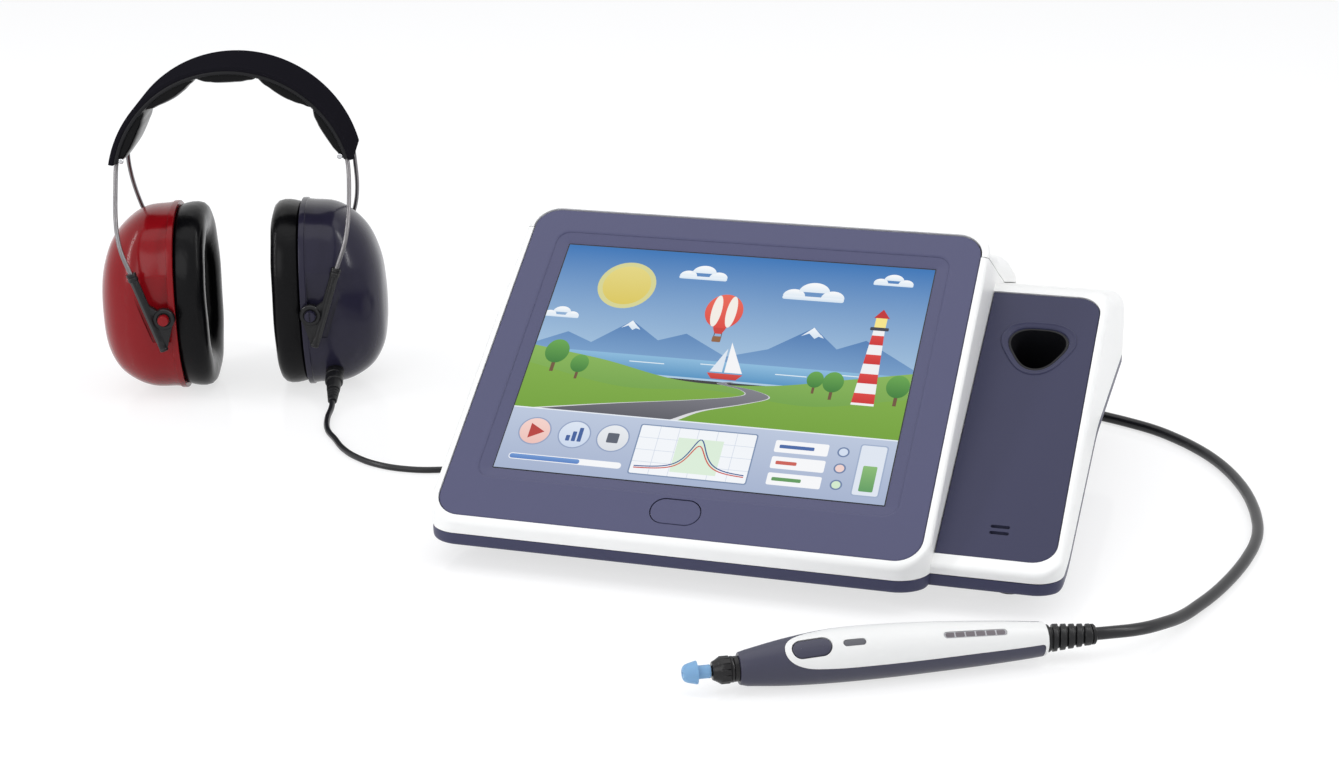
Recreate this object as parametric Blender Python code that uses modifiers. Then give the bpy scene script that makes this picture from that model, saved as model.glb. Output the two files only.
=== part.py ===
# Desktop tympanometer with a hand probe and an ear-muff headset.
#
# The device stands on four feet with its screen tilted up from the front. The probe lies on the table
# in front of it and the headset stands on its cups to the left. X runs to the right, Y to the back and
# Z up. Sizes are in metres; the last step puts the origin under the middle of the whole set.

import math

import bmesh
import bpy
from mathutils import Matrix, Vector

mm = 0.001
degree = math.pi / 180.0

# Gaps shared by touching pieces
seat_gap = 0.3 * mm
weld_distance = 0.002 * mm
plane_tolerance = 0.02 * mm
join_step = 0.05 * mm
flat_tolerance = 0.001 * mm
cut_overrun = 12.0 * mm
small_edge = 1.0 * mm

# Screen and bezel, measured along the tilted screen plane
screen_width = 170.4 * mm
screen_height = 127.8 * mm
screen_tilt = 33.4 * degree
front_edge_rise = 19.48 * mm
window_margin = 0.3 * mm
window_slope = 4.7 * mm
window_corner = 0.5 * mm
bezel_side_border = 18.8 * mm
bezel_front_border = 27.1 * mm
bezel_back_border = 19.1 * mm
bezel_corner = 11.0 * mm
bezel_thickness = 1.7 * mm
rim_width = 3.5 * mm
rim_proud = 0.3 * mm
glass_margin = 7.0 * mm
glass_thickness = 2.5 * mm
panel_margin = 10.0 * mm
panel_thickness = 6.5 * mm
button_length = 21.6 * mm
button_width = 12.4 * mm
button_inset = 12.6 * mm
button_travel = 0.8 * mm
button_depth = 4.0 * mm

# Housing of the main section
shell_wall = 2.5 * mm
neck_wall = 2.3 * mm
lip_depth = 13.0 * mm
roof_setback = 13.05 * mm
roof_drop = 14.54 * mm
rear_depth = 94.05 * mm
back_edge_round = 1.5 * mm
back_top_rise = 73.0 * mm
roof_shares = ((0.35, 0.25), (0.70, 0.56))
front_corner = 14.0 * mm
lip_corner = 12.0 * mm
back_corner = 11.0 * mm
edge_round = 2.2 * mm

# Seam between housing and base: low at the front, high along the back half
seam_front_rise = 15.8 * mm
seam_back_drop = 2.4 * mm
seam_bend_front = -42.0 * mm
seam_bend_inset = 63.0 * mm

# Probe section on the right
section_width = 52.0 * mm
section_front_step = 11.16 * mm
section_tilt = 26.09 * degree
section_drop = 18.6 * mm
section_rim_width = 3.6 * mm
panel_front_setback = 6.31 * mm
section_setback = 2.76 * mm
probe_panel_corner = 10.0 * mm
probe_panel_thickness = 2.0 * mm
deck_step = 0.3 * mm
section_back_rise = 70.6 * mm
section_corner = 12.0 * mm

# Probe holder in the right panel
holder_side = 24.3 * mm
holder_inset = 35.0 * mm
holder_half_width = 11.2 * mm
holder_half_length = 12.6 * mm
holder_wall = 1.4 * mm
holder_depth = 46.0 * mm
holder_ring_width = 3.7 * mm
holder_ring_rise = 0.5 * mm
slot_length = 8.0 * mm
slot_width = 1.7 * mm
slot_pitch = 3.4 * mm
slot_inset = 15.6 * mm
speaker_radius = 9.0 * mm
speaker_depth = 5.0 * mm

# Printer lid and its hinge
lid_gap = 0.4 * mm
lid_lip = 12.0 * mm
lid_bend_share = 0.4365
lid_wall = 2.5 * mm
hinge_inset = 10.0 * mm
hinge_radius = 3.1 * mm
hinge_rod_radius = 1.2 * mm
hinge_rod_length = 150.0 * mm
hinge_ear_centre = 60.0 * mm
hinge_ear_width = 6.0 * mm
paper_slot_width = 3.0 * mm
paper_slot_share = 0.277

# Printer inside the main section
paper_width = 104.0 * mm
paper_radius = 17.5 * mm
paper_core_radius = 6.0 * mm
paper_pin_radius = 3.0 * mm
bay_inset = 17.0 * mm
bay_depth = 49.0 * mm
bay_height = 49.3 * mm
bay_wall = 2.0 * mm
bay_margin = 2.0 * mm
roll_clearance = 1.0 * mm
platen_radius = 5.0 * mm
platen_inset = 11.5 * mm
platen_drop = 0.7 * mm
platen_pin_radius = 2.0 * mm
head_height = 11.0 * mm

# Base tray
band_height = 5.6 * mm
band_round = 2.4 * mm
tub_inset = 11.0 * mm
tub_front_inset = 27.0 * mm
rear_overhang = 52.0 * mm
tub_wall = 2.4 * mm
foot_radius = 7.0 * mm
foot_height = 3.0 * mm
foot_inset = 13.0 * mm
screw_head_radius = 3.0 * mm
screw_shank_radius = 1.4 * mm
screw_length = 11.0 * mm
screw_boss_radius = 5.6 * mm

# Electronics and air system
board_thickness = 1.6 * mm
board_length = 160.0 * mm
board_depth = 120.0 * mm
board_lift = 6.0 * mm
board_inset = 28.0 * mm
pump_radius = 11.0 * mm
pump_length = 46.0 * mm
valve_size = (34.0 * mm, 22.0 * mm, 16.0 * mm)

# Connector plate at the back, under the overhang
rear_plate_thickness = 2.0 * mm
rear_plate_length = 170.0 * mm
rear_plate_height = 24.0 * mm
rear_plate_rise = 8.0 * mm
socket_rise = 20.0 * mm
socket_inset = 15.0 * mm
inlet_offset = 6.0 * mm
probe_socket_radius = 8.0 * mm
headset_socket_radius = 5.0 * mm
socket_depth = 5.0 * mm

# Hand probe: lies on the table, tip to the left, rolled towards the user
probe_place = (32.3 * mm, -168.4 * mm)
probe_yaw = 27.2 * degree
probe_roll = 42.0 * degree
probe_axis_rise = 9.6 * mm
probe_body_start = 21.5 * mm
probe_body_length = 119.7 * mm
probe_radius = 10.4 * mm
probe_wall = 1.8 * mm
probe_wide_share = 0.97
probe_tall_share = 1.03
probe_station_shares = (0.0, 0.025, 0.15, 0.30, 0.46, 0.62, 0.78, 0.90, 0.985, 1.0)
probe_radius_shares = (0.60, 0.67, 0.87, 1.0, 1.0, 0.94, 0.84, 0.745, 0.66, 0.62)
probe_drop_shares = (-0.085, -0.085, 0.0, 0.077, 0.08, 0.06, 0.02, -0.01, -0.03, -0.03)
probe_split_share = 0.60
probe_split_front_share = 0.125
probe_split_level_share = 0.25
probe_collar = 1.5 * mm
probe_button_share = 0.224
probe_button_length = 14.8 * mm
probe_button_width = 8.2 * mm
probe_button_travel = 0.6 * mm
probe_button_sink = 0.2 * mm
status_share = 0.359
status_length = 8.4 * mm
status_width = 2.3 * mm
level_share = 0.755
level_length = 25.0 * mm
level_width = 2.3 * mm
window_depth = 1.1 * mm
probe_cap_start = 11.4 * mm
probe_cap_length = 8.0 * mm
probe_cap_radius = 5.2 * mm
probe_cap_wall = 1.5 * mm
probe_tip_radius = 1.8 * mm
probe_collar_radius = 4.4 * mm
ear_tip_radius = 4.4 * mm
ear_tip_stem_radius = 2.6 * mm
ear_tip_length = 10.8 * mm
ear_tip_travel = 12.0 * mm
relief_length = 20.0 * mm
relief_radius = 5.4 * mm
relief_end_radius = 4.1 * mm
relief_rib_count = 5

# Headset: stands on its cups, turned towards the user
headset_place = (-288.0 * mm, 121.0 * mm)
headset_yaw = 20.0 * degree
cup_half_height = 48.6 * mm
cup_half_width = 37.5 * mm
cup_rim_inner = 31.5 * mm
cup_rim_depth = 5.7 * mm
cup_depth = 35.5 * mm
cup_step = 0.3 * mm
dome_start_share = 0.975
cup_wall = 2.4 * mm
cushion_inset = 0.6 * mm
cushion_depth = 14.5 * mm
cushion_hole_height = 29.0 * mm
cushion_hole_width = 19.0 * mm
pivot_rise = 47.5 * mm
pivot_radius = 2.8 * mm
pivot_reach = 7.2 * mm
clip_width = 6.4 * mm
clip_thickness = 5.2 * mm
clip_length = 43.0 * mm
clip_lean = 18.2 * degree
clip_eye_radius = 5.4 * mm
pivot_along = 15.5 * mm
wire_radius = 1.1 * mm
wire_clearance = 0.35 * mm
wire_insert = 33.0 * mm
band_radius = 62.6 * mm
band_thickness = 8.6 * mm
band_centre_rise = 109.0 * mm
band_end_angle = 13.0 * degree
band_width = 44.0 * mm
band_wire_side = 17.0 * mm
band_lobe_count = 5
band_lobe_depth = 2.2 * mm
driver_radius = 17.0 * mm
gland_radius = 4.6 * mm
gland_end_radius = 2.3 * mm
gland_length = 33.0 * mm
gland_fall = 20.0 * degree
gland_side = 46.0 * mm
gland_reach = 13.5 * mm
gland_rise = 4.6 * mm

# Cords
probe_cord_radius = 2.5 * mm
headset_cord_radius = 1.5 * mm
coil_point_count = 24
probe_coil_count = 5
probe_coil_radius = 28.0 * mm
headset_coil_count = 8
headset_coil_radius = 18.0 * mm
coil_pitch_share = 1.16
plug_length = 30.0 * mm
probe_coil_place = (62.0 * mm, 222.0 * mm)
headset_coil_place = (-62.0 * mm, 214.0 * mm)
probe_cord_spacing = 12.0 * mm
headset_cord_spacing = 8.0 * mm

# Hand-chosen points that the cords run through on the table, as they lie in the picture
probe_cord_route = ((189.0 * mm, -86.5 * mm, 6.0 * mm), (198.5 * mm, -74.0 * mm, 3.4 * mm),
                    (206.0 * mm, -59.0 * mm), (219.0 * mm, -24.0 * mm),
                    (228.5 * mm, 14.0 * mm), (230.8 * mm, 48.0 * mm), (223.0 * mm, 90.0 * mm),
                    (206.0 * mm, 128.0 * mm), (180.0 * mm, 157.0 * mm), (150.0 * mm, 173.0 * mm),
                    (122.0 * mm, 184.0 * mm), (102.5 * mm, 200.0 * mm))
probe_tail_route = ((96.5 * mm, 246.0 * mm, 7.0 * mm), (112.0 * mm, 258.0 * mm, 2.5 * mm),
                    (131.0 * mm, 246.0 * mm, 2.5 * mm), (133.0 * mm, 221.0 * mm, 3.2 * mm),
                    (117.0 * mm, 197.0 * mm, 9.0 * mm), (103.0 * mm, 175.0 * mm, 17.0 * mm))
headset_cord_route = ((-219.5 * mm, 64.0 * mm), (-209.0 * mm, 49.5 * mm), (-196.5 * mm, 34.5 * mm),
                      (-183.0 * mm, 24.5 * mm), (-164.0 * mm, 18.0 * mm), (-142.0 * mm, 21.0 * mm),
                      (-125.0 * mm, 33.0 * mm), (-117.0 * mm, 56.0 * mm), (-115.0 * mm, 90.0 * mm),
                      (-116.0 * mm, 125.0 * mm), (-113.0 * mm, 156.0 * mm), (-103.0 * mm, 180.0 * mm),
                      (-91.5 * mm, 198.0 * mm))
headset_tail_route = ((-85.0 * mm, 230.0 * mm, 4.0 * mm), (-74.0 * mm, 245.0 * mm, 1.6 * mm),
                      (-55.0 * mm, 249.0 * mm, 1.5 * mm), (-36.0 * mm, 238.0 * mm, 1.5 * mm),
                      (-29.0 * mm, 212.0 * mm, 3.5 * mm), (-38.0 * mm, 172.0 * mm, 16.0 * mm))


# Sizes that follow from the named ones
bezel_half_width = screen_width / 2 + bezel_side_border
bezel_front_reach = screen_height / 2 + bezel_front_border
bezel_back_reach = screen_height / 2 + bezel_back_border
button_back_offset = bezel_front_reach - button_inset
screen_rise = front_edge_rise + (bezel_front_reach + rim_width) * math.sin(screen_tilt)
section_rise = screen_rise - section_drop
body_half_width = bezel_half_width + rim_width
section_right = body_half_width + section_width
holder_centre = body_half_width + holder_side
rear_plate_centre = (section_right - body_half_width) / 2


# Side outline of the main section, as (distance back, height)
def on_screen(along, above):
    """A point of the side view given along the screen plane and above it."""
    return (along * math.cos(screen_tilt) - above * math.sin(screen_tilt),
            screen_rise + along * math.sin(screen_tilt) + above * math.cos(screen_tilt))


def on_section(along, above):
    """The same for the plane of the right-hand probe panel."""
    return (along * math.cos(section_tilt) - above * math.sin(section_tilt),
            section_rise + along * math.sin(section_tilt) + above * math.cos(section_tilt))


bezel_top = bezel_thickness + seat_gap
rim_top = bezel_top + rim_proud
lip_reach = bezel_back_reach + rim_width
body_front = on_screen(-bezel_front_reach - rim_width, rim_top)[0]
roof_climb_share = 0.72
edge_share = 0.8

section_front = body_front + section_front_step
probe_panel_front = (section_front + panel_front_setback) / math.cos(section_tilt)
slot_offset = -probe_panel_front - slot_inset

# Places behind the bezel, which follow its back edge
lip_back, lip_rise = on_screen(lip_reach, rim_top)
body_back = lip_back + rear_depth
roof_start_back = lip_back + roof_setback
roof_start_rise = lip_rise - roof_drop
lid_seam_back = bezel_back_reach - lid_lip
lid_seam_bend = lip_back + lid_bend_share * rear_depth
hinge_back = body_back - hinge_inset
paper_slot_back = lip_back + paper_slot_share * rear_depth
bay_back = body_back - bay_inset
bay_front = bay_back - bay_depth
roll_back = bay_back - bay_wall - roll_clearance - paper_radius
platen_back = bay_front + platen_inset
tub_back = body_back - rear_overhang
seam_bend_back = tub_back - seam_bend_inset
board_back = tub_back - board_inset - board_depth / 2
section_roof_front = roof_start_back
probe_panel_back = ((section_roof_front - section_setback + rim_proud * math.sin(section_tilt))
                    / math.cos(section_tilt) - section_rim_width)
bay_floor = on_section(probe_panel_back + section_rim_width, rim_proud)[1] + deck_step - bay_height
seam_back_rise = bay_floor - seam_back_drop
roll_rise = bay_floor + bay_wall + roll_clearance + paper_radius
holder_offset = probe_panel_back - holder_inset
probe_socket_side = rear_plate_centre + rear_plate_length / 2 - socket_inset
headset_socket_side = rear_plate_centre - rear_plate_length / 2 + socket_inset
inlet_side = rear_plate_centre - inlet_offset


# Start from an empty scene with one collection for the parts and one for the cutting bodies
for leftover in list(bpy.data.objects):
    bpy.data.objects.remove(leftover, do_unlink=True)
parts = bpy.data.collections.new("tympanometer")
cutters = bpy.data.collections.new("cutters")
bpy.context.scene.collection.children.link(parts)
bpy.context.scene.collection.children.link(cutters)


# Materials, one for each finish
def finish(name, colour, roughness, metallic=0.0):
    material = bpy.data.materials.new(name)
    material.use_nodes = True
    shader = material.node_tree.nodes["Principled BSDF"]
    shader.inputs["Base Color"].default_value = (*colour, 1.0)
    shader.inputs["Roughness"].default_value = roughness
    shader.inputs["Metallic"].default_value = metallic
    material.diffuse_color = (*colour, 1.0)
    return material


white_plastic = finish("white_plastic", (0.86, 0.86, 0.84), 0.42)
slate_plastic = finish("slate_plastic", (0.13, 0.135, 0.22), 0.45)
panel_plastic = finish("panel_plastic", (0.075, 0.078, 0.13), 0.45)
black_plastic = finish("black_plastic", (0.015, 0.015, 0.018), 0.4)
screen_glass = finish("screen_glass", (0.10, 0.20, 0.35), 0.1)
grey_window = finish("grey_window", (0.25, 0.25, 0.26), 0.3)
rubber = finish("rubber", (0.02, 0.02, 0.022), 0.7)
steel = finish("steel", (0.75, 0.75, 0.76), 0.2, 1.0)
brass = finish("brass", (0.75, 0.58, 0.28), 0.3, 1.0)
circuit = finish("circuit", (0.02, 0.16, 0.07), 0.5)
paper = finish("paper", (0.9, 0.9, 0.88), 0.8)
red_shell = finish("red_shell", (0.23, 0.012, 0.02), 0.3)
blue_shell = finish("blue_shell", (0.02, 0.018, 0.03), 0.3)
leather = finish("leather", (0.012, 0.012, 0.014), 0.5)
tip_silicone = finish("tip_silicone", (0.20, 0.42, 0.68), 0.45)
cord_jacket = finish("cord_jacket", (0.012, 0.012, 0.014), 0.45)


# Frames that the pieces are built in
def frame(name, parent=None, place=(0.0, 0.0, 0.0), turn=(0.0, 0.0, 0.0)):
    empty = bpy.data.objects.new(name, None)
    parts.objects.link(empty)
    empty.parent = parent
    empty.location = place
    empty.rotation_euler = turn
    return empty


device = frame("device")
screen_frame = frame("screen_frame", device, (0.0, 0.0, screen_rise), (screen_tilt, 0.0, 0.0))
section_frame = frame("section_frame", device, (0.0, 0.0, section_rise), (section_tilt, 0.0, 0.0))
probe_frame = frame("probe_frame", device, (*probe_place, probe_axis_rise), (0.0, 0.0, probe_yaw))
probe_body_frame = frame("probe_body_frame", probe_frame, (0.0, 0.0, 0.0), (probe_roll, 0.0, 0.0))
headset_frame = frame("headset_frame", device, (*headset_place, 0.0), (0.0, 0.0, headset_yaw))
bpy.context.view_layer.update()

SIDE_VIEW = Matrix(((0, 0, 1, 0), (1, 0, 0, 0), (0, 1, 0, 0), (0, 0, 0, 1)))
FRONT_VIEW = Matrix.Rotation(math.pi / 2, 4, "X")
TOP_VIEW = Matrix.Identity(4)
ALONG_X = Matrix.Rotation(math.pi / 2, 4, "Y")
ALONG_Y = Matrix.Rotation(-math.pi / 2, 4, "X")


# Solid builders
def part(name, bm, material, parent=device, pivot=(0.0, 0.0, 0.0), smooth=35.0 * degree):
    """Make one named sub-part from a bmesh, with its origin on its joint when it has one."""
    bmesh.ops.translate(bm, verts=bm.verts, vec=-Vector(pivot))
    mesh = bpy.data.meshes.new(name)
    bm.to_mesh(mesh)
    bm.free()
    mesh.shade_smooth()
    mesh.set_sharp_from_angle(angle=smooth)
    mesh.materials.append(material)
    item = bpy.data.objects.new(name, mesh)
    parts.objects.link(item)
    item.parent = parent
    item.location = pivot
    return item


def cutter(name, bm, parent=device):
    """Make a body that only cuts or joins another one."""
    mesh = bpy.data.meshes.new(name)
    bm.to_mesh(mesh)
    bm.free()
    item = bpy.data.objects.new(name, mesh)
    cutters.objects.link(item)
    item.parent = parent
    item.hide_render = True
    item.display_type = "WIRE"
    return item


def combine(item, other, operation):
    modifier = item.modifiers.new(other.name, "BOOLEAN")
    modifier.operation = operation
    modifier.object = other
    modifier.solver = "EXACT"


def cut(item, *others):
    for other in others:
        combine(item, other, "DIFFERENCE")


def join(item, *others):
    for other in others:
        combine(item, other, "UNION")


def evaluated_bmesh(item):
    bpy.context.view_layer.update()
    graph = bpy.context.evaluated_depsgraph_get()
    mesh = bpy.data.meshes.new_from_object(item.evaluated_get(graph))
    bm = bmesh.new()
    bm.from_mesh(mesh)
    bpy.data.objects.remove(item, do_unlink=True)
    bmesh.ops.remove_doubles(bm, verts=bm.verts, dist=weld_distance)
    return bm


def plate(points, low, high, view=TOP_VIEW):
    """Extrude a closed flat outline from low to high, then turn it into the given view."""
    curve = bpy.data.curves.new("outline", "CURVE")
    curve.dimensions = "2D"
    curve.fill_mode = "BOTH"
    curve.extrude = (high - low) / 2
    spline = curve.splines.new("POLY")
    spline.points.add(len(points) - 1)
    for spot, (first, second) in zip(spline.points, points):
        spot.co = (first, second, 0.0, 1.0)
    spline.use_cyclic_u = True
    item = bpy.data.objects.new("outline", curve)
    parts.objects.link(item)
    bm = evaluated_bmesh(item)
    bmesh.ops.dissolve_limit(bm, angle_limit=0.2 * degree, verts=bm.verts, edges=bm.edges)
    bmesh.ops.translate(bm, verts=bm.verts, vec=(0.0, 0.0, (low + high) / 2))
    bmesh.ops.transform(bm, matrix=view, verts=bm.verts)
    bmesh.ops.recalc_face_normals(bm, faces=bm.faces)
    return bm


def box(low, high, rounding=0.0, segments=2):
    bm = bmesh.new()
    bmesh.ops.create_cube(bm, size=1.0)
    size = Vector(high) - Vector(low)
    middle = (Vector(high) + Vector(low)) / 2
    bmesh.ops.scale(bm, vec=size, verts=bm.verts)
    bmesh.ops.translate(bm, verts=bm.verts, vec=middle)
    if rounding > 0.0:
        round_edges(bm, lambda a, b: True, rounding, segments)
    return bm


def cylinder(radius, low, high, view=TOP_VIEW, place=(0.0, 0.0, 0.0), segments=20, end_radius=None):
    bm = bmesh.new()
    top = radius if end_radius is None else end_radius
    bmesh.ops.create_cone(bm, cap_ends=True, segments=segments, radius1=radius, radius2=top,
                          depth=high - low)
    bmesh.ops.translate(bm, verts=bm.verts, vec=(0.0, 0.0, (low + high) / 2))
    bmesh.ops.transform(bm, matrix=Matrix.Translation(place) @ view, verts=bm.verts)
    return bm


def turned(profile, steps=20, view=TOP_VIEW, place=(0.0, 0.0, 0.0)):
    """Turn a profile of (radius, height) about its axis. It runs top to bottom down its outer side."""
    mesh = bpy.data.meshes.new("profile")
    edges = [(index, index + 1) for index in range(len(profile) - 1)]
    if profile[0][0] > 0.0:
        edges.append((len(profile) - 1, 0))
    mesh.from_pydata([(radius, 0.0, height) for radius, height in profile], edges, [])
    item = bpy.data.objects.new("profile", mesh)
    parts.objects.link(item)
    screw = item.modifiers.new("turn", "SCREW")
    screw.steps = steps
    screw.render_steps = steps
    screw.use_merge_vertices = True
    screw.merge_threshold = weld_distance
    bm = evaluated_bmesh(item)
    bmesh.ops.recalc_face_normals(bm, faces=bm.faces)
    bmesh.ops.transform(bm, matrix=Matrix.Translation(place) @ view, verts=bm.verts)
    return bm


def loft(rings, closed=False):
    """Join rings of points, all of one count, by quads; the ends are capped unless it is closed."""
    bm = bmesh.new()
    rows = [[bm.verts.new(point) for point in ring] for ring in rings]
    count = len(rows[0])
    pairs = list(zip(rows, rows[1:]))
    if closed:
        pairs.append((rows[-1], rows[0]))
    for first, second in pairs:
        for index in range(count):
            after = (index + 1) % count
            bm.faces.new((first[index], first[after], second[after], second[index]))
    if not closed:
        bm.faces.new(rows[0])
        bm.faces.new(rows[-1])
    bmesh.ops.recalc_face_normals(bm, faces=bm.faces)
    return bm


def tube(points, radius, resolution=2):
    """A round tube with filled ends along a list of points."""
    curve = bpy.data.curves.new("run", "CURVE")
    curve.dimensions = "3D"
    curve.bevel_depth = radius
    curve.bevel_resolution = resolution
    curve.use_fill_caps = True
    spline = curve.splines.new("POLY")
    spline.points.add(len(points) - 1)
    for spot, point in zip(spline.points, points):
        spot.co = (*point, 1.0)
    item = bpy.data.objects.new("run", curve)
    parts.objects.link(item)
    bm = evaluated_bmesh(item)
    bmesh.ops.recalc_face_normals(bm, faces=bm.faces)
    return bm


def cord(name, points, radius, material, resolution=2):
    """A free cord as a curve with a bevel, left as a curve."""
    curve = bpy.data.curves.new(name, "CURVE")
    curve.dimensions = "3D"
    curve.bevel_depth = radius
    curve.bevel_resolution = resolution
    curve.use_fill_caps = True
    spline = curve.splines.new("POLY")
    spline.points.add(len(points) - 1)
    for spot, point in zip(spline.points, points):
        spot.co = (*point, 1.0)
    curve.materials.append(material)
    item = bpy.data.objects.new(name, curve)
    parts.objects.link(item)
    item.parent = device
    return item


def round_edges(bm, chosen, radius, segments):
    edges = [edge for edge in bm.edges if chosen(edge.verts[0].co, edge.verts[1].co)]
    bmesh.ops.bevel(bm, geom=edges, offset=radius, offset_type="OFFSET", segments=segments,
                    profile=0.5, affect="EDGES", clamp_overlap=True, material=-1)


def rounded_rectangle(left, right, front, back, radii, steps=4):
    """Corner radii in the order front left, front right, back right, back left."""
    points = []
    corners = ((left, front, 1, 1, 180.0), (right, front, -1, 1, 270.0),
               (right, back, -1, -1, 0.0), (left, back, 1, -1, 90.0))
    for (across, along, step_x, step_y, start), radius in zip(corners, radii):
        if radius <= 0.0:
            points.append((across, along))
            continue
        centre = (across + step_x * radius, along + step_y * radius)
        for index in range(steps + 1):
            angle = (start + 90.0 * index / steps) * degree
            points.append((centre[0] + radius * math.cos(angle), centre[1] + radius * math.sin(angle)))
    return points


def racetrack(centre_x, centre_y, length, width, steps=5):
    half = length / 2
    radius = width / 2
    return rounded_rectangle(centre_x - half, centre_x + half, centre_y - radius, centre_y + radius,
                             (radius * 0.999,) * 4, steps)


def near(value, target):
    return abs(value - target) < plane_tolerance


def both(test):
    """An edge test that holds when both ends pass a point test."""
    return lambda a, b: test(a) and test(b)


def upright(test):
    """The same for edges that keep to one side."""
    return lambda a, b: near(a.x, b.x) and test(a) and test(b)


section_rim_back = on_section(probe_panel_back + section_rim_width, rim_proud)
section_roof_start = (section_roof_front, section_rim_back[1] + deck_step)
section_roof_fall = ((section_roof_start[1] - section_back_rise)
                     / (body_back - back_edge_round - section_roof_front))


def deck(back):
    """Height of the deck under the lid, a small step above the roof of the probe section."""
    return section_roof_start[1] + deck_step - section_roof_fall * (back - section_roof_front)


deck_slope = math.atan(section_roof_fall)
platen_rise = deck(platen_back) - platen_radius - platen_drop
hinge_rise = deck(hinge_back) + (hinge_radius + lid_gap) / math.cos(deck_slope)
roof_end = (hinge_back, hinge_rise + hinge_radius)
roof_line = [(roof_start_back, roof_start_rise)]
for back_share, fall_share in roof_shares:
    roof_line.append((roof_start_back + back_share * (roof_end[0] - roof_start_back),
                      roof_start_rise - fall_share * (roof_start_rise - roof_end[1])))
roof_line.append(roof_end)


def roof(back):
    """Height of the lid's roof above a place."""
    for (low, low_rise), (high, high_rise) in zip(roof_line, roof_line[1:]):
        if back <= high:
            break
    return low_rise + (back - low) * (high_rise - low_rise) / (high - low)


def seam_points(front, lift, back=body_back):
    """The seam between housing and base from front to back, raised by a lift."""
    return [(front, seam_front_rise + lift), (seam_bend_front, seam_front_rise + lift),
            (seam_bend_back, seam_back_rise + lift), (back, seam_back_rise + lift)]


# Outer bodies of the two sections, as side outlines that draw in towards the side walls
def draw_in(radius, depth):
    """How far a rounded corner has drawn in at a depth inside the side wall."""
    left = radius - min(depth, radius)
    return radius - math.sqrt(radius * radius - left * left)


def bend(start, corner, end):
    """Three points that round a corner."""
    middle = tuple(0.25 * a + 0.5 * b + 0.25 * c for a, b, c in zip(start, corner, end))
    return [start, middle, end]


def main_outline(depth):
    front = body_front + draw_in(front_corner, depth)
    back = body_back - draw_in(back_corner, depth)
    back_reach = lip_reach - draw_in(lip_corner, depth)
    drop = draw_in(edge_round, depth)
    edge = edge_round * edge_share
    level = rim_top - drop
    first = front / math.cos(screen_tilt) + level * math.tan(screen_tilt)
    rim_front = on_screen(first, level)
    foot = on_screen(back_reach, rim_top - lip_depth + roof_climb_share * (lip_reach - back_reach))
    points = [*reversed(seam_points(front, 0.0, back))]
    points += bend((front, rim_front[1] - edge), rim_front, on_screen(first + edge, level))
    points += bend(on_screen(back_reach - edge, level), on_screen(back_reach, level),
                   on_screen(back_reach, level - edge))
    points.append(foot)
    end = hinge_back - draw_in(back_corner, depth)
    for share in (0.0, *(pair[0] for pair in roof_shares), 1.0):
        place = roof_start_back + share * (end - roof_start_back)
        points.append((place, roof(place) - drop))
    points.append((back - hinge_radius, (roof(end) + back_top_rise) / 2 - drop))
    points.append((back, back_top_rise - hinge_radius - drop))
    return points


def section_outline(depth):
    front = section_front + draw_in(section_corner, depth)
    back = body_back - join_step - draw_in(back_corner, depth)
    drop = draw_in(edge_round, depth)
    edge = edge_round * edge_share
    level = rim_proud - drop
    first = front / math.cos(section_tilt) + level * math.tan(section_tilt)
    rim_front = on_section(first, level)
    points = [*reversed(seam_points(front, join_step, back))]
    points += bend((front, rim_front[1] - edge), rim_front, on_section(first + edge, level))
    points.append(on_section(probe_panel_back + section_rim_width, level))
    points.append((section_roof_front, section_roof_start[1] - drop))

    def fall(place):
        return section_roof_start[1] - section_roof_fall * (place - section_roof_front) - drop

    points += bend((back - edge, fall(back - edge)), (back, fall(back)), (back, fall(back) - edge))
    return points


def settle_faces(bm):
    """Split the faces that aren't flat."""
    bm.normal_update()
    bent = []
    for face in bm.faces:
        middle = face.calc_center_median()
        if max(abs((vertex.co - middle).dot(face.normal)) for vertex in face.verts) > flat_tolerance:
            bent.append(face)
    bmesh.ops.triangulate(bm, faces=bent)
    return bm


corner_steps_share = (0.0, 0.29, 1.0)
corner_middle_share = 0.43


def side_depths(corner):
    return [edge_round * share for share in corner_steps_share] + [corner * corner_middle_share, corner]


def main_body():
    depths = side_depths(front_corner)
    rings = [[(depth - body_half_width, *point) for point in main_outline(depth)] for depth in depths]
    rings += [[(body_half_width - depth, *point) for point in main_outline(depth)]
              for depth in reversed(depths)]
    return settle_faces(loft(rings))


def section_body():
    depths = side_depths(section_corner)
    rings = [[(bezel_half_width - rim_width, *point) for point in section_outline(section_corner)]]
    rings += [[(section_right - depth, *point) for point in section_outline(depth)]
              for depth in reversed(depths)]
    return settle_faces(loft(rings))


# The space that the lid takes out of the main section
def lid_space(gap):
    radius = hinge_radius + lid_gap - gap
    start = on_screen(lid_seam_back + gap, rim_top - seat_gap)
    rise = gap * 1.15
    bend = (lid_seam_bend, deck(lid_seam_bend) + rise)
    points = [on_screen(lid_seam_back + gap, rim_top + cut_overrun), (start[0], start[1] + rise * 0.2), bend]
    first = -90.0 * degree - deck_slope
    for index in range(7):
        angle = first + index * (170.0 * degree + deck_slope) / 6
        points.append((hinge_back + radius * math.cos(angle), hinge_rise + radius * math.sin(angle)))
    top = roof_start_rise * 1.2
    points.append((points[-1][0], top))
    points.append((points[0][0], top))
    return plate(points, -body_half_width - cut_overrun, body_half_width + cut_overrun, SIDE_VIEW)


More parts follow.
